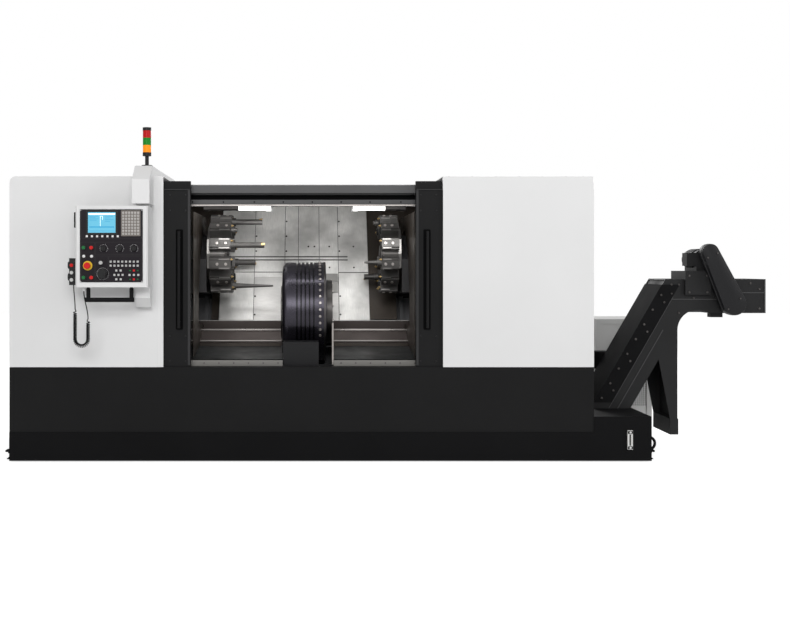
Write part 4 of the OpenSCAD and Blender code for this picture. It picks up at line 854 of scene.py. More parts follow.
# %% Keys
CAP_SIZE, CAP_HEIGHT = 12.5, 2.8
FIELD_THICK = 0.9  # plate under the keypad
CAP = facing(plate(CAP_SIZE, CAP_SIZE, CAP_HEIGHT, 1.6, 0.7), "front")
SMALL_CAP = facing(plate(10, 7, 1.6, 1.2, 0.5), "front")
keypad = key_field((0.667, 0.644), (0.952, 0.973), 6, 8)
soft_row = np.c_[np.linspace(0.111, 0.603, 7), np.full(7, 0.63)]
key_rows = np.array([(x, z) for z in (0.282, 0.227) for x in np.linspace(0.49, 0.92, 8)])
jog_white = np.array([(0.58, 0.16), (0.65, 0.16), (0.55, 0.1), (0.615, 0.1), (0.68, 0.1),
                      (0.58, 0.04), (0.65, 0.04), (0.79, 0.1), (0.86, 0.1), (0.93, 0.1)])
jog_red = np.array([(0.86, 0.16), (0.86, 0.04)])
piece("keypad_keys", copies(CAP, on_panel(keypad, FIELD_THICK)), KEY_GREY, "pendant")
piece("soft_keys", copies(CAP, on_panel(soft_row)), MARKS, "pendant")
grey_keys = np.vstack([key_rows, jog_white])
piece("row_keys", copies(CAP, on_panel(grey_keys)), KNOB_GREY, "pendant")
piece("red_keys", copies(CAP, on_panel(jog_red)), RED, "pendant")
edge_keys = np.array([(0.80, 0.16), (0.92, 0.16), (0.80, 0.04), (0.92, 0.04)])
piece("green_keys", copies(SMALL_CAP, on_panel(edge_keys)), GREEN, "pendant")
print("keys:", sum(map(len, (keypad, soft_row, grey_keys, jog_red, edge_keys))))

# %% [markdown]
# A blank field of keys looks unfinished. A plain bar or dot on each key breaks up its face and says
# nothing. They are thin plates that begin a little inside the key, so no faces lie in one plane.

# %% Signs, keypad field and group lines
BAR = facing(plate(6.0, 1.8, 0.25, 0.4, 0.1), "front")
DOT = facing(plate(2.4, 2.4, 0.25, 0.8, 0.1), "front")
SUNK = 0.05  # a sign begins a little inside its key
row_top = CAP_HEIGHT - SUNK
pad_top = FIELD_THICK + row_top
signs = together(copies(BAR, on_panel(keypad[::2], pad_top)),
                 copies(DOT, on_panel(keypad[1::2], pad_top)),
                 copies(BAR, on_panel(key_rows[::3], row_top)),
                 copies(DOT, on_panel(key_rows[1::3], row_top)))
piece("key_signs", signs, PANEL, "pendant")
field_low, field_high = on_panel([(0.655, 0.632), (0.964, 0.985)])
field_plate = plate(*(field_high - field_low)[[0, 2]], FIELD_THICK, 3.0, 0.3)
field = facing(field_plate, "front", (field_low + field_high) / 2)
piece("keypad_field", field, KEY_FIELD, "pendant")
GROUPS = [((0.02, 0.60), (0.98, 0.99)), ((0.02, 0.02), (0.235, 0.55)), ((0.25, 0.38), (0.98, 0.55)),
          ((0.25, 0.02), (0.45, 0.36)), ((0.46, 0.02), (0.98, 0.36))]
lines = []
for low, high in GROUPS:
    corner_low, corner_high = on_panel([low, high])
    shape = border(*(corner_high - corner_low)[[0, 2]], 1.2, 0.35, 4.0)
    lines.append(facing(shape, "front", (corner_low + corner_high) / 2))
piece("group_lines", together(*lines), HOUSING, "pendant")
print("groups:", len(GROUPS))

# %% [markdown]
# ## The screen
# The display shows a plain drawing of a turned part: a title bar, a few rows, and a profile line. An
# image would need a file of its own, so each mark is a thin plate that glows, a third of a millimetre
# in front of the glass.

# %% What the screen shows
SCREEN_WHITE = lit("screen_white", (0.85, 0.95, 1.0), 0.7)
SCREEN_DEEP = lit("screen_deep", (0.05, 0.33, 0.55), 0.35)
screen_low, screen_high = on_panel([(0.127, 0.671), (0.571, 0.966)], 2.0)
screen_middle = (screen_low + screen_high) / 2
screen_size = (screen_high - screen_low)[[0, 2]]


def on_screen(left, low, right, high):
    """A thin plate between two corners, given as shares of the screen."""
    size = screen_size * (right - left, high - low)
    middle = screen_low[[0, 2]] + screen_size * ((left + right) / 2, (low + high) / 2)
    return facing(plate(*size, 0.35, 0.4, 0.1), "front", (middle[0], screen_low[1], middle[1]))


ROW_HIGH = 0.02
COLUMNS = {  # left edge of a column of rows: (height, width) of each row
    0.06: ((0.78, 0.3), (0.72, 0.22), (0.66, 0.34), (0.60, 0.26)),
    0.62: ((0.78, 0.28), (0.70, 0.2), (0.62, 0.3), (0.54, 0.18)),
}
rows = [on_screen(0.05, 0.26, 0.95, 0.32), on_screen(0.05, 0.10, 0.95, 0.115)]
for left, lines in COLUMNS.items():
    rows += [on_screen(left, z, left + width, z + ROW_HIGH) for z, width in lines]
title = [on_screen(0.02, 0.86, 0.98, 0.93)]
title += [on_screen(0.44, 0.33, 0.455, 0.80), on_screen(0.44, 0.785, 0.52, 0.80),
          on_screen(0.52, 0.62, 0.535, 0.80)]
piece("screen_title", together(*title), SCREEN_WHITE, "pendant")
piece("screen_rows", together(*rows), SCREEN_DEEP, "pendant")
bezel_frame = border(screen_size[0] + 22, screen_size[1] + 18, 12, 3.2, 5.0)
bezel = facing(bezel_frame, "front", (screen_middle[0], PANEL_LOW[1], screen_middle[2]))
piece("screen_bezel", bezel, PLASTIC, "pendant")
print("screen:", screen_size.round())

# %% [markdown]
# ## Rings, lamps and dial marks
# Each push button has a dark collar, the emergency stop a yellow plate, and each dial a scale of short
# strokes. An Array modifier round an empty could repeat a stroke, but the empty would be one more thing
# to keep. So a stroke is drawn once at the top of its dial and turned round the dial's middle.

# %% Rings and lamps
BUTTONS = on_panel([(0.063, 0.474), (0.187, 0.474), (0.063, 0.064), (0.187, 0.064)], 3.0)
collar = facing(washer(12.6, 16.6, 1.2), "front")
piece("button_rings", copies(collar, BUTTONS), PLASTIC, "pendant")
STOP = on_panel([(0.124, 0.227)])[0]
piece("stop_plate", facing(washer(16.3, 29, 1.6, 40), "front", STOP), YELLOW, "pendant")
LAMPS = on_panel([(0.063, 0.356), (0.187, 0.356)], 4.0)
dome = turned([(9.6, -3.5), (9.6, 0), (8.6, 2.0), (6.0, 3.4), (2.5, 4.0)], 20)
piece("panel_lamps", copies(facing(dome, "front"), LAMPS), MARKS, "pendant")
SCREWS = on_panel([(0.012, 0.012), (0.988, 0.012), (0.012, 0.988), (0.988, 0.988)])
panel_screw = facing(turned([(3.4, 0), (3.4, 0.8), (2.4, 1.5), (1.2, 1.5), (1.2, 0.9)], 12), "front")
piece("panel_screws", copies(panel_screw, SCREWS), ZINC, "pendant")
print("rings:", len(BUTTONS), "lamps:", len(LAMPS))

# %% Dial scales
DIALS = {"left_knob": (0.379, 0.463), "middle_knob": (0.635, 0.463), "right_knob": (0.862, 0.463)}
DIAL_RADIUS, WHEEL_RADIUS, KNOB_HEIGHT = 24, 36, 22.0
strokes = []
for share in DIALS.values():
    middle = on_panel([share])[0]
    stroke = facing(plate(1.4, 5.0, 0.35, 0.3, 0.1), "front", middle + (0, 0, DIAL_RADIUS))
    strokes.append(spun(stroke, np.arange(-135, 136, 22.5), "y", middle))
wheel_middle = on_panel([(0.365, 0.116)])[0]
fine = facing(plate(0.9, 4.0, 0.35, 0.2, 0.1), "front", wheel_middle + (0, 0, WHEEL_RADIUS))
strokes.append(spun(fine, np.arange(0, 360, 7.2), "y", wheel_middle))
piece("dial_strokes", together(*strokes), MARKS, "pendant")
for knob, share in DIALS.items():
    tip = on_panel([share], KNOB_HEIGHT)[0] + (0, 0, 7.5)
    pointer = facing(plate(2.2, 11.0, 0.5, 0.6, 0.2), "front", tip)
    piece(knob + "_pointer", pointer, MARKS, knob + "_body")
print("dials:", len(DIALS) + 1)

# %% [markdown]
# ## Sheets of the back wall
# The wall behind the tools is not one sheet: narrow panels are screwed side by side to the lining, with
# rails across them. The wall leans back with the bed. The pieces could be drawn flat and their objects
# turned, but an object has to stay unturned, so they are drawn in the wall's own measures, along the
# machine, up the slope and out of it, and one formula carries them over.

# %% On the slope
AXIS_Y, AXIS_Z = 831.0, 1330.1
WALL_OUT = -300.0
SLOPE = math.radians(60)


def on_wall(shape):
    """(x, a, h) goes to (x, 831 + a cos 60 - s sin 60, 1330.1 + a sin 60 + s cos 60), where s = h - 300."""
    points, faces = shape
    x, a, h = np.asarray(points, float).T
    s = h + WALL_OUT
    y = AXIS_Y + a * math.cos(SLOPE) - s * math.sin(SLOPE)
    z = AXIS_Z + a * math.sin(SLOPE) + s * math.cos(SLOPE)
    return np.stack([x, y, z], axis=-1), faces


def bar(low, high, edge=0.8):
    """Plate between two opposite corners, eased at its rim."""
    low, high = np.asarray(low, float), np.asarray(high, float)
    width, height, thick = high - low
    shape = plate(width, height, thick, corner=min(2.0, width / 3, height / 3), edge=min(edge, thick / 2))
    return moved(shape, [(low[0] + high[0]) / 2, (low[1] + high[1]) / 2, low[2]])


WALL_LEFT, WALL_RIGHT = 1262.0, 2343.0
WALL_SEAMS = [1507, 1731, 1830, 1985, 2125]
WALL_LOW, WALL_HIGH = -372.0, 596.0
DRUM_LEFT, DRUM_RIGHT, DRUM_TOP = 1720, 2030, -20.0  # what the drum hides of the wall


def wall_foot(left, right):
    """A panel or seam behind the drum begins above it, the others at the foot of the wall."""
    return DRUM_TOP if right > DRUM_LEFT and left < DRUM_RIGHT else WALL_LOW


print("wall seams:", len(WALL_SEAMS))

# %% Panels, seams with painted shade, and rails of the wall
edges = [WALL_LEFT, *WALL_SEAMS, WALL_RIGHT]
panels = []
JOINT = 1.2  # half the gap between two panels
for k, (left, right) in enumerate(zip(edges[:-1], edges[1:])):
    lift = 2.0 if k % 2 else 3.2
    panels.append(bar([left + JOINT, wall_foot(left, right), 0.0], [right - JOINT, WALL_HIGH, lift]))
piece("wall_panels", on_wall(together(*panels)), LINING, "machine")
rails = [bar([1330, a, 3.0], [2195, a + 9, 7.0]) for a in (120, 147)]
rails.append(bar([WALL_LEFT, 18, 3.0], [1745, 24, 6.0]))
rails.append(bar([2127, 14, 3.0], [WALL_RIGHT, 20, 6.0]))
# The seams are painted shade: black strips stand for the shadow in the gaps between the panels.
seams = [bar([x - 1.8, wall_foot(x, x), 0.5], [x + 1.8, WALL_HIGH, 2.6]) for x in WALL_SEAMS]
piece("wall_seam_shade", on_wall(together(*seams)), SHADOW, "machine")
piece("wall_rails", on_wall(together(*rails)), WALL_RAIL, "machine")
patch = [bar([2030, -58, 3.4], [2120, 8, 5.4]), bar([2030, -150, 3.4], [2120, -64, 5.4])]
piece("wall_patches", on_wall(together(*patch)), SILL, "machine")

# %% Screws of the wall
wall_screw = turned([(6.5, 0), (6.5, 2.2), (5.2, 3.4), (0.0, 3.6)], 12)
SCREW_SEAT = 3.0
beside_seams = [x + 10 for x in WALL_SEAMS[:2] + WALL_SEAMS[-1:]]
screw_places = [[x, a, SCREW_SEAT] for x in beside_seams for a in (-330, -180, 200, 330, 460)]
screw_places += [[x, a, SCREW_SEAT] for x in (1905, 1950, 2060, 2240) for a in (60, 240)]
piece("wall_screws", on_wall(copies(wall_screw, screw_places)), DARK_STEEL, "machine")

# %% [markdown]
# ## Ledges, sill and pan
# Two guide strips shine where wipers run along the ledges, the sill is screwed down along its front,
# and a scraper lip stands at the back of the chip pan. They stop short of the drum on both sides. One
# function lays a strip over both spans, because left and right differ only in their length.

# %% Strips along the chamber
SPANS = [(984, 1712), (2072, 2750)]


def lengthwise(low, high):
    """A strip over both spans beside the drum, between two corners given as (y, z)."""
    strips = []
    for left, right in SPANS:
        strip = plate(right - left, high[0] - low[0], high[1] - low[1], corner=1.0, edge=0.8)
        strips.append(moved(strip, [(left + right) / 2, (low[0] + high[0]) / 2, low[1]]))
    return together(*strips)


piece("upper_guide", lengthwise((742, 793), (758, 803)), BRIGHT, "machine")
piece("lower_guide", lengthwise((644, 723), (656, 731)), BRIGHT, "machine")
piece("pan_lip", lengthwise((588, 693), (594, 712)), SHIELD, "machine")
sill_screws = [[x, 114, 640] for x in (*range(1030, 1720, 110), *range(2105, 2740, 105))]
piece("sill_screws", copies(wall_screw, sill_screws), DARK_STEEL, "machine")
sill_face = [[x, 84, 622] for x in (*range(1040, 1720, 95), *range(2110, 2740, 95))]
front_screw = facing(turned([(5, 0), (5, 1.6), (0, 2.0)], 10), "front")
piece("sill_face_screws", copies(front_screw, sill_face), DARK_STEEL, "machine")

# %% [markdown]
# ## Work lamps
# Each lamp is a glass tube. A dark steel sleeve and a cap hide its outer part, and a bracket holds its
# inner end to the door track. The tube itself could be cut shorter, but it is a solid of the pack, so
# the sleeve covers it: a turned profile laid along the machine, a little wider than the tube.

# %% Sleeves and brackets
LAMP_Y, LAMP_Z = 186.0, 1630.0
SLEEVE_RADIUS, CAP_RADIUS = 23.6, 27.4


def laid_along(shape):
    """The shape's height becomes x, so that a turned part lies along the machine."""
    points, faces = shape
    return points[:, [2, 0, 1]], faces


def sleeve(left, right, radius):
    """A tube just larger than the lamp it covers, its ends rolled in."""
    length = right - left
    rolled = radius - 1.2
    profile = [(rolled, 0), (radius, 1.5), (radius, length - 1.5), (rolled, length)]
    return moved(laid_along(turned(profile, 28)), [left, LAMP_Y, LAMP_Z])


sleeves = [sleeve(1252, 1446, SLEEVE_RADIUS), sleeve(2400, 2501, SLEEVE_RADIUS)]
end_caps = [sleeve(1218, 1253, CAP_RADIUS), sleeve(2500, 2535, CAP_RADIUS)]
piece("lamp_sleeves", together(*sleeves, *end_caps), DARK_STEEL, "machine")
brackets = [facing(plate(44, 74, 12, 4.0), "right", [x, 182, 1636]) for x in (1656, 2180)]
piece("lamp_brackets", together(*brackets), CABINET, "machine")

# %% [markdown]
# ## Door track
# The beam over the opening carries the door track. A black wiper strip with a few screws masks its web,
# and a lighter strip along the lip under it is a painted highlight. A bright flat edges the plate that guards
# the drum on its right. The lip's highlight could be painted by a mask in the shader, but a thin plate also
# catches the light at its rim.

# %% Wiper strip, painted lip highlight and guard edge
WEB_FRONT, LIP_FRONT = 140.0, 116.0
TRACK_LENGTH, TRACK_MIDDLE = 1764, 1867
wiper = facing(plate(TRACK_LENGTH, 30, 2.5, 2.0), "front", (TRACK_MIDDLE, WEB_FRONT, 1690))
piece("track_wiper", wiper, SHADOW, "machine")
SCREW_LINE = (1150, 1350, 1550, 1738, 1926, 2113, 2300, 2500, 2650)
track_screws = [[x, WEB_FRONT, 1660] for x in SCREW_LINE]
piece("track_screws", copies(front_screw, track_screws), SHADOW, "machine")
# A lighter strip on the lip, painted as the highlight along its edge.
lip_highlight = facing(plate(TRACK_LENGTH, 9, 1.2, 1.0, 0.4), "front", (TRACK_MIDDLE, LIP_FRONT, 1638))
piece("track_lip_highlight", lip_highlight, BRIGHT, "machine")
guard_edge = facing(plate(11, 270, 2.0, 1.0), "front", (2058, 120, 744))
piece("guard_edge", guard_edge, BRIGHT, "machine")

# %% [markdown]
# ## Turrets
# Twelve stations sit round each disc, and each holder has clamp screws, wedges, a coolant jet and a
# plug where no bar is held. They could be copied by hand and turned one by one. Here a station's parts
# are drawn once, at the top of the disc, and turned to their place by thirty degrees at a time, so a
# change to one holder changes all of them.

# %% Round a disc
STATIONS = 12
STATION = 360 / STATIONS
DISC_AXIS = np.array([0.0, AXIS_Y, AXIS_Z])
DISCS = {  # faces of disc and holders; way is towards the drum; stations with bars and without a holder
    "left": {"way": 1, "face": 1318.0, "front": 1367.0, "back": 1218.0,
             "bars": (6, 7, 8, 11, 2), "bare": None},
    "right": {"way": -1, "face": 2428.0, "front": 2407.0, "back": 2528.0, "bars": (9, 5, 1), "bare": 3},
}


def at_station(shape, number):
    """A shape drawn above the axis, turned to its station about the disc's own axis."""
    return turned_about(shape, 180 + STATION * (number + 0.5), "x", DISC_AXIS)


def above(shape, x, radius):
    """Height points away from the axis, at a distance along the machine and from the axis."""
    return moved(shape, [x, AXIS_Y, AXIS_Z + radius])


def outward(shape, disc, x, radius, across=0.0):
    """Height points out of the disc's face, towards the drum."""
    points, faces = laid_along(shape)
    return moved((points * [disc["way"], 1, 1], faces), [x, AXIS_Y + across, AXIS_Z + radius])


def socket_screw(radius, height):
    """A round head with a hollow that goes down to two fifths of its height."""
    return turned([(radius, 0), (radius, height * 0.8), (radius * 0.9, height), (radius * 0.55, height),
                   (radius * 0.5, height * 0.4), (0, height * 0.4)], 18)


print("stations on a disc:", STATIONS)

# %% Holders
CLAMP_CIRCLE, WEDGE_CIRCLE, JET_CIRCLE, PLUG_CIRCLE = 278, 264, 250, 229
clamp = socket_screw(10, 4.5)
jet = turned([(9, 0), (9, 8), (5, 12), (5, 16), (0, 17)], 14)
plug = turned([(27, 0), (27, 5), (24, 8), (20, 8), (18, 5), (0, 5)], 28)
for side, disc in DISCS.items():
    length = abs(disc["front"] - disc["back"])
    clamps, wedges, plugs, jets = [], [], [], []
    for n in range(STATIONS):
        if n == disc["bare"]:
            continue
        for share in (0.22, 0.62):
            x = disc["front"] - disc["way"] * share * length
            clamps.append(at_station(above(clamp, x, CLAMP_CIRCLE), n))
        x = disc["front"] - disc["way"] * 0.3 * length
        for across in (-31.5, 31.5):
            wedge = bar([x - 0.25 * length, across - 5, 0], [x + 0.25 * length, across + 5, 9])
            wedges.append(at_station(above(wedge, 0, WEDGE_CIRCLE), n))
        jets.append(at_station(outward(jet, disc, disc["front"], JET_CIRCLE, 25), n))
        if n not in disc["bars"]:
            plugs.append(at_station(outward(plug, disc, disc["front"], PLUG_CIRCLE), n))
    body = side + "_turret_body"
    piece(side + "_clamp_screws", together(*clamps), BRIGHT, body)
    piece(side + "_wedges", together(*wedges), GROUND, body)
    piece(side + "_station_plugs", together(*plugs), PLASTIC, body)
    piece(side + "_coolant_jets", together(*jets), BRASS, body)

# %% [markdown]
# ## Disc faces and cutting tips
# A ring of screws holds each disc to its coupling, and a stepped cap covers the middle. The bars end in
# a small hard insert on a seat, the part that cuts. A real insert is a rhombus with ground faces, but
# at this distance two small plates, one on the other, give the same glint.

# %% Screws, caps and inserts
BAR_TIPS = {"left": {6: 1578, 8: 1599, 2: 1518}, "right": {1: 2308}}
COUPLING_CIRCLE, TIP_CIRCLE = 168, 251.5
CAP_LIFT = 10


def tip_plate(tip, way, back, ahead, width, low, high):
    """A plate from back behind the end of a bar to ahead of it, whichever way its disc faces."""
    left, right = sorted([tip - way * back, tip + way * ahead])
    return above(bar([left, -width / 2, low], [right, width / 2, high]), 0, TIP_CIRCLE)


cap = turned([(62, 0), (62, 5), (56, 9), (30, 9), (27, 13), (0, 13)], 40)
for side, disc in DISCS.items():
    body = side + "_turret_body"
    face_screw = outward(socket_screw(9, 5), disc, disc["face"], COUPLING_CIRCLE)
    ring = spun(face_screw, STATION * np.arange(STATIONS), "x", DISC_AXIS)
    piece(side + "_face_screws", ring, BRIGHT, body)
    cap_x = disc["face"] + disc["way"] * CAP_LIFT
    piece(side + "_disc_cap", outward(cap, disc, cap_x, 0), DARK_STEEL, body)
    tips = []
    for n, tip in BAR_TIPS[side].items():
        tips.append(at_station(tip_plate(tip, disc["way"], 22, 0, 18, 0, 3), n))
        tips.append(at_station(tip_plate(tip, disc["way"], 14, 4, 14, 3, 7), n))
    piece(side + "_inserts", together(*tips), BRASS, body)

# %% [markdown]
# ## Drum bolts and spindle clamps
# A ring of bolts round the right edge of the drum holds its cover, and their bright heads catch the
# lamps. Clamp screws on the spindle's flange turn with the spindle. Each ring is one head turned about
# the drum's axis, in one mesh, because a hundred small objects would be slow to handle.

# %% Bolts round the drum
BOLT_COUNT, BOLT_ARC = 32, 230  # the pedestal hides the rest of the circle
FLANGE_CIRCLE = 200
bolt_angles = [-BOLT_ARC / 2 + k * BOLT_ARC / (BOLT_COUNT - 1) for k in range(BOLT_COUNT)]
head = turned([(9, -1), (9, 5), (7.5, 7), (4.5, 7), (4.2, 3.5), (0, 3.5)], 14)
top_bolt = moved(head, DRUM_AXIS + [1979, 0, DRUM_RADIUS])
piece("drum_bolts", spun(top_bolt, bolt_angles, "x", DRUM_AXIS), BRIGHT, "machine")
inside, proud = DRUM_RADIUS - 2, DRUM_RADIUS + 2.4
band = laid_along(turned([(inside, 0), (proud, 1.5), (proud, 12.5), (inside, 14)], 128))
piece("drum_edge_band", moved(band, DRUM_AXIS + [2004, 0, 0]), DARK_STEEL, "machine")
flange_screw = moved(laid_along(socket_screw(12, 6)), DRUM_AXIS + [2064, 0, FLANGE_CIRCLE])
flange = spun(flange_screw, np.arange(15, 360, 30), "x", DRUM_AXIS)
piece("flange_screws", flange, BRIGHT, "spindle_body")

# %% [markdown]
# ## Doors
# A rubber gasket seals each window, the leading edge has a bevel painted lighter grey as a highlight, a
# folded lip closes the top under the track and is painted lighter as the highlight on its edge, and the long
# pull stands in front of a black plate painted as the shade of its recess. The two doors are mirror
# images, so one loop measures everything from the leading edge. All of it slides with its door.

# %% Trim of the doors
DOOR_FRONT = 18.0
DOOR_EDGES = {"left": (1148.0, -1), "right": (2586.0, 1)}  # leading edge, and the way from it to the window
hex_head = facing(turned([(6.5, 0), (6.5, 4), (5.5, 5), (0, 5)], 6), "front")
TRIM = {  # shape, finish, distance from the leading edge, depth and height
    "window_gasket": (border(620, 684, 18, 4.0, 14.0), HOSE, 558, DOOR_FRONT, 1233.3),
    "door_bevel_highlight": (plate(15, 1118, 1.6, 2.0, 0.8), DOOR_HIGHLIGHT, 9, DOOR_FRONT, 1172),
    "door_lip_highlight": (plate(166, 6, 9.0, 1.5, 0.8), DOOR_HIGHLIGHT, 85, DOOR_FRONT + 2, 1733),
    # A black plate painted as the shade of the recess behind the pull.
    "pull_recess_shade": (plate(46, 640, 1.2, 8.0, 0.4), SHADOW, 69.5, DOOR_FRONT, 1159),
}
for side, (edge, way) in DOOR_EDGES.items():
    leaf = side + "_door_leaf"
    for name, (shape, finish, away, depth, z) in TRIM.items():
        trim = facing(shape, "front", (edge + way * away, depth, z))
        piece(side + "_" + name, trim, finish, leaf)
    screws = [(edge + way * away, DOOR_FRONT, z) for away in (30, 130) for z in (640, 800, 1600, 1700)]
    piece(side + "_door_screws", copies(hex_head, screws), PLASTIC, leaf)

# %% [markdown]
# ## Conveyor
# The incline is a folded trough with a bolted lid. Bolt heads run along the lid's flange, two
# stiffening ribs run down the side plate, and hexagon bolts hold the drive's mounting plate. The rows
# could be placed by eye, but points on the side plate are given by their height and their distance
# behind the slanted upper edge, so each row stays parallel to the edge.

# %% Along the incline
PLATE_FRONT = 400.0
HEAD_X, HEAD_TOP = 4300.0, 1157.0
INCLINE = math.radians(60)


def upper_edge(z):
    """X of the slanted edge at a height: 4300 - (1157 - z) / tan 60."""
    return HEAD_X - (HEAD_TOP - z) / math.tan(INCLINE)


def strip_down(low, high, offset, width, proud):
    """A rib on the side plate that keeps its distance from the slanted edge."""
    outline = ((low, 0), (low, width), (high, width), (high, 0))
    corners = [(upper_edge(z) + offset + across, 0, z) for z, across in outline]
    return carried(corners, [(0, PLATE_FRONT, 0), (0, PLATE_FRONT - proud, 0)])


bolt = facing(turned([(8.5, 0), (8.5, 2), (7, 2.2), (7, 6.5), (5.5, 7.8), (0, 8)], 6), "front")
LID_FOOT, LID_PITCH, LID_COUNT = 330, 98.75, 8
LID_THICK, FLANGE_THICK = 8, 4
lid_heights = LID_FOOT + LID_PITCH * (np.arange(LID_COUNT) + 0.3)
lid_bolts = [(upper_edge(z) + 30, PLATE_FRONT - LID_THICK, z) for z in lid_heights]
edge_bolts = [(upper_edge(z) + 80, PLATE_FRONT - FLANGE_THICK, z) for z in lid_heights[::2] + 50]
piece("lid_bolts", copies(bolt, lid_bolts + edge_bolts), DARK_STEEL, "machine")
ribs = [strip_down(262, 815, 176, 7, 3.0), strip_down(262, 1040, 118, 4, 2.0)]
piece("incline_ribs", together(*ribs), CONVEYOR_EDGE, "machine")
DRIVE_FRONT = 370.0
drive_bolts = [(x, DRIVE_FRONT, z) for z in (1070, 1180) for x in (4450, 4570)]
SIDE_BOLTS = [(4490, 1030), (4640, 1036), (4340, 1120), (4390, 1120), (4340, 1060), (4390, 930), (4930, 960),
              (4930, 1090), (4870, 1130)]
plate_bolts = drive_bolts + [(x, PLATE_FRONT, z) for x, z in SIDE_BOLTS]
piece("plate_bolts", copies(bolt, plate_bolts), DARK_STEEL, "machine")
chute_rib = facing(plate(150, 7, 3.0, 1.5), "front", (4890, PLATE_FRONT, 1066))
head_rib = facing(plate(330, 6, 3.0, 1.5), "front", (4480, PLATE_FRONT, 1022))
chute_end = facing(plate(9, 215, 4.0, 1.5), "front", (4966, PLATE_FRONT, 1042))
piece("chute_ribs", together(chute_rib, head_rib, chute_end), CONVEYOR_EDGE, "machine")

# %% [markdown]
# ## Chain guard
# The guard over the drive chain is wide at the head shaft, where the large sprocket turns, and narrow
# at the motor. A convex hull of two discs would give the same form with uneven faces. The outline is
# worked out instead, as the tightest band round two circles: it leaves each circle where the common
# tangent touches, at an angle whose cosine is the difference of the radii over the distance of the
# centres.

# %% A tapered case with an eased rim


def band_round(first, first_r, second, second_r, steps=24):
    """Outline round two circles, as an arc of each between the points where their outer tangents touch."""
    first, second = np.asarray(first, float), np.asarray(second, float)
    run = second - first
    heading = math.atan2(run[1], run[0])
    touch = math.acos((first_r - second_r) / np.hypot(*run))
    near = np.linspace(heading + touch, heading + 2 * math.pi - touch, steps)
    far = np.linspace(heading - touch, heading + touch, steps)
    arcs = [c + r * np.stack([np.cos(t), np.sin(t)], axis=-1)
            for c, r, t in ((first, first_r, near), (second, second_r, far))]
    return np.vstack(arcs)


MOTOR_END, MOTOR_ROUND = (4568.0, 1338.0), 54
SHAFT_END, SHAFT_ROUND = (4726.0, 996.0), 78
GUARD_FRONT = 290


def guard_rings(levels):
    """The band at each level, given as how much it grows and how far back it lies."""
    rings = []
    for grow, y in levels:
        outline = band_round(MOTOR_END, MOTOR_ROUND + grow, SHAFT_END, SHAFT_ROUND + grow)
        rings.append(np.c_[outline[:, 0], np.full(len(outline), y), outline[:, 1]])
    return rings


shell = stack(guard_rings([(0, DRIVE_FRONT), (0, 298), (-2.5, 292.5), (-8, GUARD_FRONT)]))
boss = facing(turned([(40, 0), (40, 30)], 40), "front", (4758, PLATE_FRONT, 994))
case = piece("chain_guard_case", together(shell, boss), GUARD_FACE, "machine")
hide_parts("chain_guard")
seam = hollow(guard_rings([(1.6, 338), (1.6, 330), (0.0, 329), (0.0, 339)]))
piece("chain_guard_seam", seam, CONVEYOR_EDGE, "machine")
guard_bolts = [(x, GUARD_FRONT, z) for x, z in ((4545, 1300), (4610, 1330), (4680, 960), (4760, 1030))]
piece("chain_guard_bolts", copies(hex_head, guard_bolts), DARK_STEEL, "machine")

# %% [markdown]
# ## Pendant handle, hinge and hand unit
# Hands hold the pendant by a rubber sleeve over its bent handle, and a black hinge closes the case on
# the left. The hand unit beside it has two grey keys and a red stop. They could be modelled in CAD, but
# at this size a turned cap in front of the unit is enough.

# %% Sleeves, hinge and hand unit
GRIP_Y, GRIP_Z = -175.0, 1036.0
LEG_TOP = 1108
grip = tube([(516, GRIP_Y, GRIP_Z), (820, GRIP_Y, GRIP_Z)], 14, 16)
legs = [tube([(x, GRIP_Y, GRIP_Z), (x, GRIP_Y, LEG_TOP)], 13, 16) for x in (536, 803)]
piece("handle_sleeve", together(grip, *legs), HOSE, "pendant")
hinge = facing(plate(26, 96, 8, 3.0), "left", (461, -190, 1530))
piece("case_hinge", hinge, SHADOW, "pendant")
unit_front = [(439, -210, z) for z in (1160, 1205, 1250)]
unit_knob = facing(turned([(11, 0), (11, 5), (9, 7), (0, 7)], 20), "front")
piece("hand_unit_keys", copies(unit_knob, unit_front[:2]), KNOB_GREY, "pendant")
piece("hand_unit_stop", copies(unit_knob, unit_front[2:]), RED, "pendant")

# %% [markdown]
# ## Hatches on the ends and the back
# Service hatches are let into the sheet with a dark gasket in the seam. Quarter-turn latches lie in
# round cups. The end hatches hang on barrel hinges, and a hood over each louvre keeps splashes out. The
# seams and cups are cut in the solids already, so the trim only fills them, and nothing stands out
# behind the machine's rear sheet.

# %% Gaskets and latches
SEAM_FLOOR = 2.0
BACK_Y, LEFT_X, RIGHT_X = 1600.0, 0.0, 3715.0
HATCH_MIDDLE, HATCH_HEIGHT = 1174.5, 1023.0
REAR_COUNT, REAR_LEFT, REAR_WIDTH, REAR_STEP = 4, 190, 811.25, 841.25
END_WIDTH, END_MIDDLE, END_LATCH = 760.0, 800, 490
PLAY = 0.6  # the gasket lies a little inside its seam
latch = together(turned([(20.5, 0), (20.5, 1.4), (19, 1.7), (0, 1.7)], 32), plate(28, 5, 1.9, 1.0))


def seal(width):
    """A flat rubber frame that fills the seam round a hatch."""
    return border(width - PLAY, HATCH_HEIGHT - PLAY, 4.4, 1.2, 1.0)


gaskets, latches = [], []
for index in range(REAR_COUNT):
    left = REAR_LEFT + REAR_STEP * index
    middle = left + REAR_WIDTH / 2
    gaskets.append(facing(seal(REAR_WIDTH), "back", (middle, BACK_Y - SEAM_FLOOR, HATCH_MIDDLE)))
    latches.append(facing(latch, "back", (left + 70, BACK_Y - SEAM_FLOOR, HATCH_MIDDLE)))
for way, x in (("left", LEFT_X + SEAM_FLOOR), ("right", RIGHT_X - SEAM_FLOOR)):
    gaskets.append(facing(seal(END_WIDTH), way, (x, END_MIDDLE, HATCH_MIDDLE)))
    latches.append(facing(latch, way, (x, END_LATCH, HATCH_MIDDLE)))
piece("hatch_gaskets", together(*gaskets), SHADOW, "machine")
piece("hatch_latches", together(*latches), DARK_STEEL, "machine")

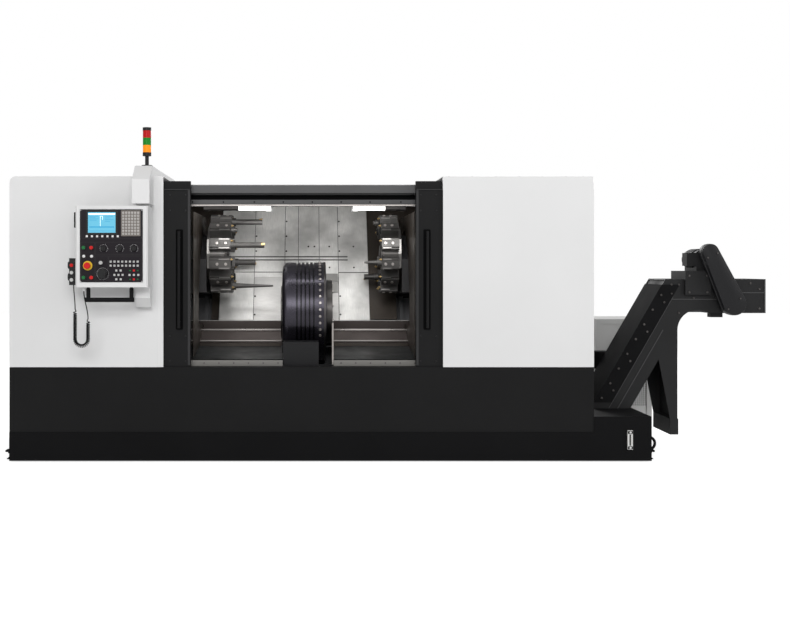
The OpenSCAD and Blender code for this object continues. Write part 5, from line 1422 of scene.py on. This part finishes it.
# %% Hinges and hoods on the ends
HINGE_Y, HINGE_LENGTH = 1182, 90
LOUVRES, LOUVRE_FOOT, LOUVRE_STEP = 9, 754, 27
barrel = turned([(0, 0), (7, 0), (8, 1), (8, HINGE_LENGTH - 1), (7, HINGE_LENGTH), (0, HINGE_LENGTH)], 20)
wing = plate(52, 74, 2.5, 3.0)
hinges, hoods = [], []
for way, x, side in (("left", LEFT_X, -1), ("right", RIGHT_X, 1)):
    for z in (760, 1130, 1500):
        hinges.append(moved(barrel, [x + side * 6, HINGE_Y, z]))
        hinges.append(facing(wing, way, (x, HINGE_Y, z + HINGE_LENGTH / 2)))
    for index in range(LOUVRES):
        low = LOUVRE_FOOT + LOUVRE_STEP * index
        section = [(0, 0, 9), (0, 0, 14), (side * 12, 0, 4), (side * 12, 0, 2)]
        hoods.append(carried(section, [(x, 670, low), (x, 930, low)]))
piece("hatch_hinges", together(*hinges), DARK_STEEL, "machine")
piece("louvre_hoods", together(*hoods), WHITE, "machine")

# %% [markdown]
# ## Roof
# The roof between the covers is one sheet that falls towards the door, so coolant mist that settles
# runs forward. Button screws hold the sheets down, and a folded white strip closes each joint. The
# strips could be flat plates turned to the slope, but it is simpler to carry their section from one end
# of the slope to the other.

# %% Roof screws and joint strips


def roof_z(y):
    """Height of the sloping sheet: a straight line from 1770 at y = 80 to 1812 at y = 1596."""
    return 1770 + (y - 80) * (1812 - 1770) / (1596 - 80)


button = turned([(8, 0), (7.6, 2), (5, 4), (0, 4.6)], 14)
COVER_TOP = 1816.0
LEFT_ROW, RIGHT_ROW = (60, 210, 360, 510, 660), (2800, 2950, 3100, 3250, 3400, 3550, 3660)
rims = [(x, y, COVER_TOP) for x in LEFT_ROW + RIGHT_ROW for y in (60, 1540)]
rims += [(x, y, COVER_TOP) for x in (50, 3665) for y in (360, 660, 960, 1260)]
sheet = [(x, y, roof_z(y)) for x in (1010, 1867, 2724) for y in range(160, 1600, 200)]
piece("roof_screws", copies(button, rims + sheet), ZINC, "machine")
STRIP = ((-9, 0, -1), (-9, 0, 3), (9, 0, 3), (9, 0, -1))
joints = [carried(STRIP, [(x, y, roof_z(y)) for y in (120, 1580)]) for x in (1440, 2294)]
piece("roof_joints", together(*joints), WHITE, "machine")

# %% [markdown]
# ## Coolant gauge
# A white plate on the tank shows the level of the coolant. It has a dark clamp with a bolt at each end
# and a dark sight slot between them. The slot could be cut into the plate, but the plate is a solid of
# the pack, so all of them are thin plates laid on its front.

# %% Gauge clamps, bolts and sight slot
GAUGE_X, CLAMP_FRONT, CLAMP_THICK = 3940, -20, 2.5
CLAMP_HEIGHTS = (94, 191)
cap_bolt = facing(turned([(7, 0), (7, 3), (6, 4), (3.5, 4), (3.5, 2), (0, 2)], 16), "front")
gauge_clamp = plate(30, 18, CLAMP_THICK, 3.0)
gauge_clamps = [facing(gauge_clamp, "front", (GAUGE_X, CLAMP_FRONT, z)) for z in CLAMP_HEIGHTS]
sight = facing(plate(9, 70, 1.2, 2.0), "front", (GAUGE_X, -16, 142))
piece("gauge_clamps", together(*gauge_clamps, sight), PLASTIC, "machine")
gauge_bolts = [(GAUGE_X, CLAMP_FRONT - CLAMP_THICK, z) for z in CLAMP_HEIGHTS]
piece("gauge_bolts", copies(cap_bolt, gauge_bolts), ZINC, "machine")

# %% [markdown]
# ## Cooler grille
# The cooler draws air through a field of punched holes in its front door. Punching them would cost many
# faces, so a small black disc, painted shade, stands for each hole, on the face of the recessed door. Black
# plates on the right side are painted shade for the slots that let the air out.

# %% Punched field of the cooler, drawn as painted shade
COOLER_DOOR, COOLER_SIDE = 1006.0, 4398
PITCH = 15.0
# Painted shade: black discs stand for the holes, and black plates for the side slots.
hole = facing(turned([(4.5, 0), (4.5, 0.5), (0, 0.5)], 8), "front")
across_door, up_door = np.meshgrid(np.arange(4130, 4356, PITCH), np.arange(236, 420, PITCH))
holes = np.stack([across_door.ravel(), np.full(across_door.size, COOLER_DOOR), up_door.ravel()], axis=-1)
piece("cooler_hole_shade", copies(hole, holes), SHADOW, "machine")
slot = facing(plate(240, 7, 1.0, 3.4, 0.3), "right")
slots = [(COOLER_SIDE, 1240, z) for z in range(560, 760, 22)]
piece("cooler_slot_shade", copies(slot, slots), SHADOW, "machine")
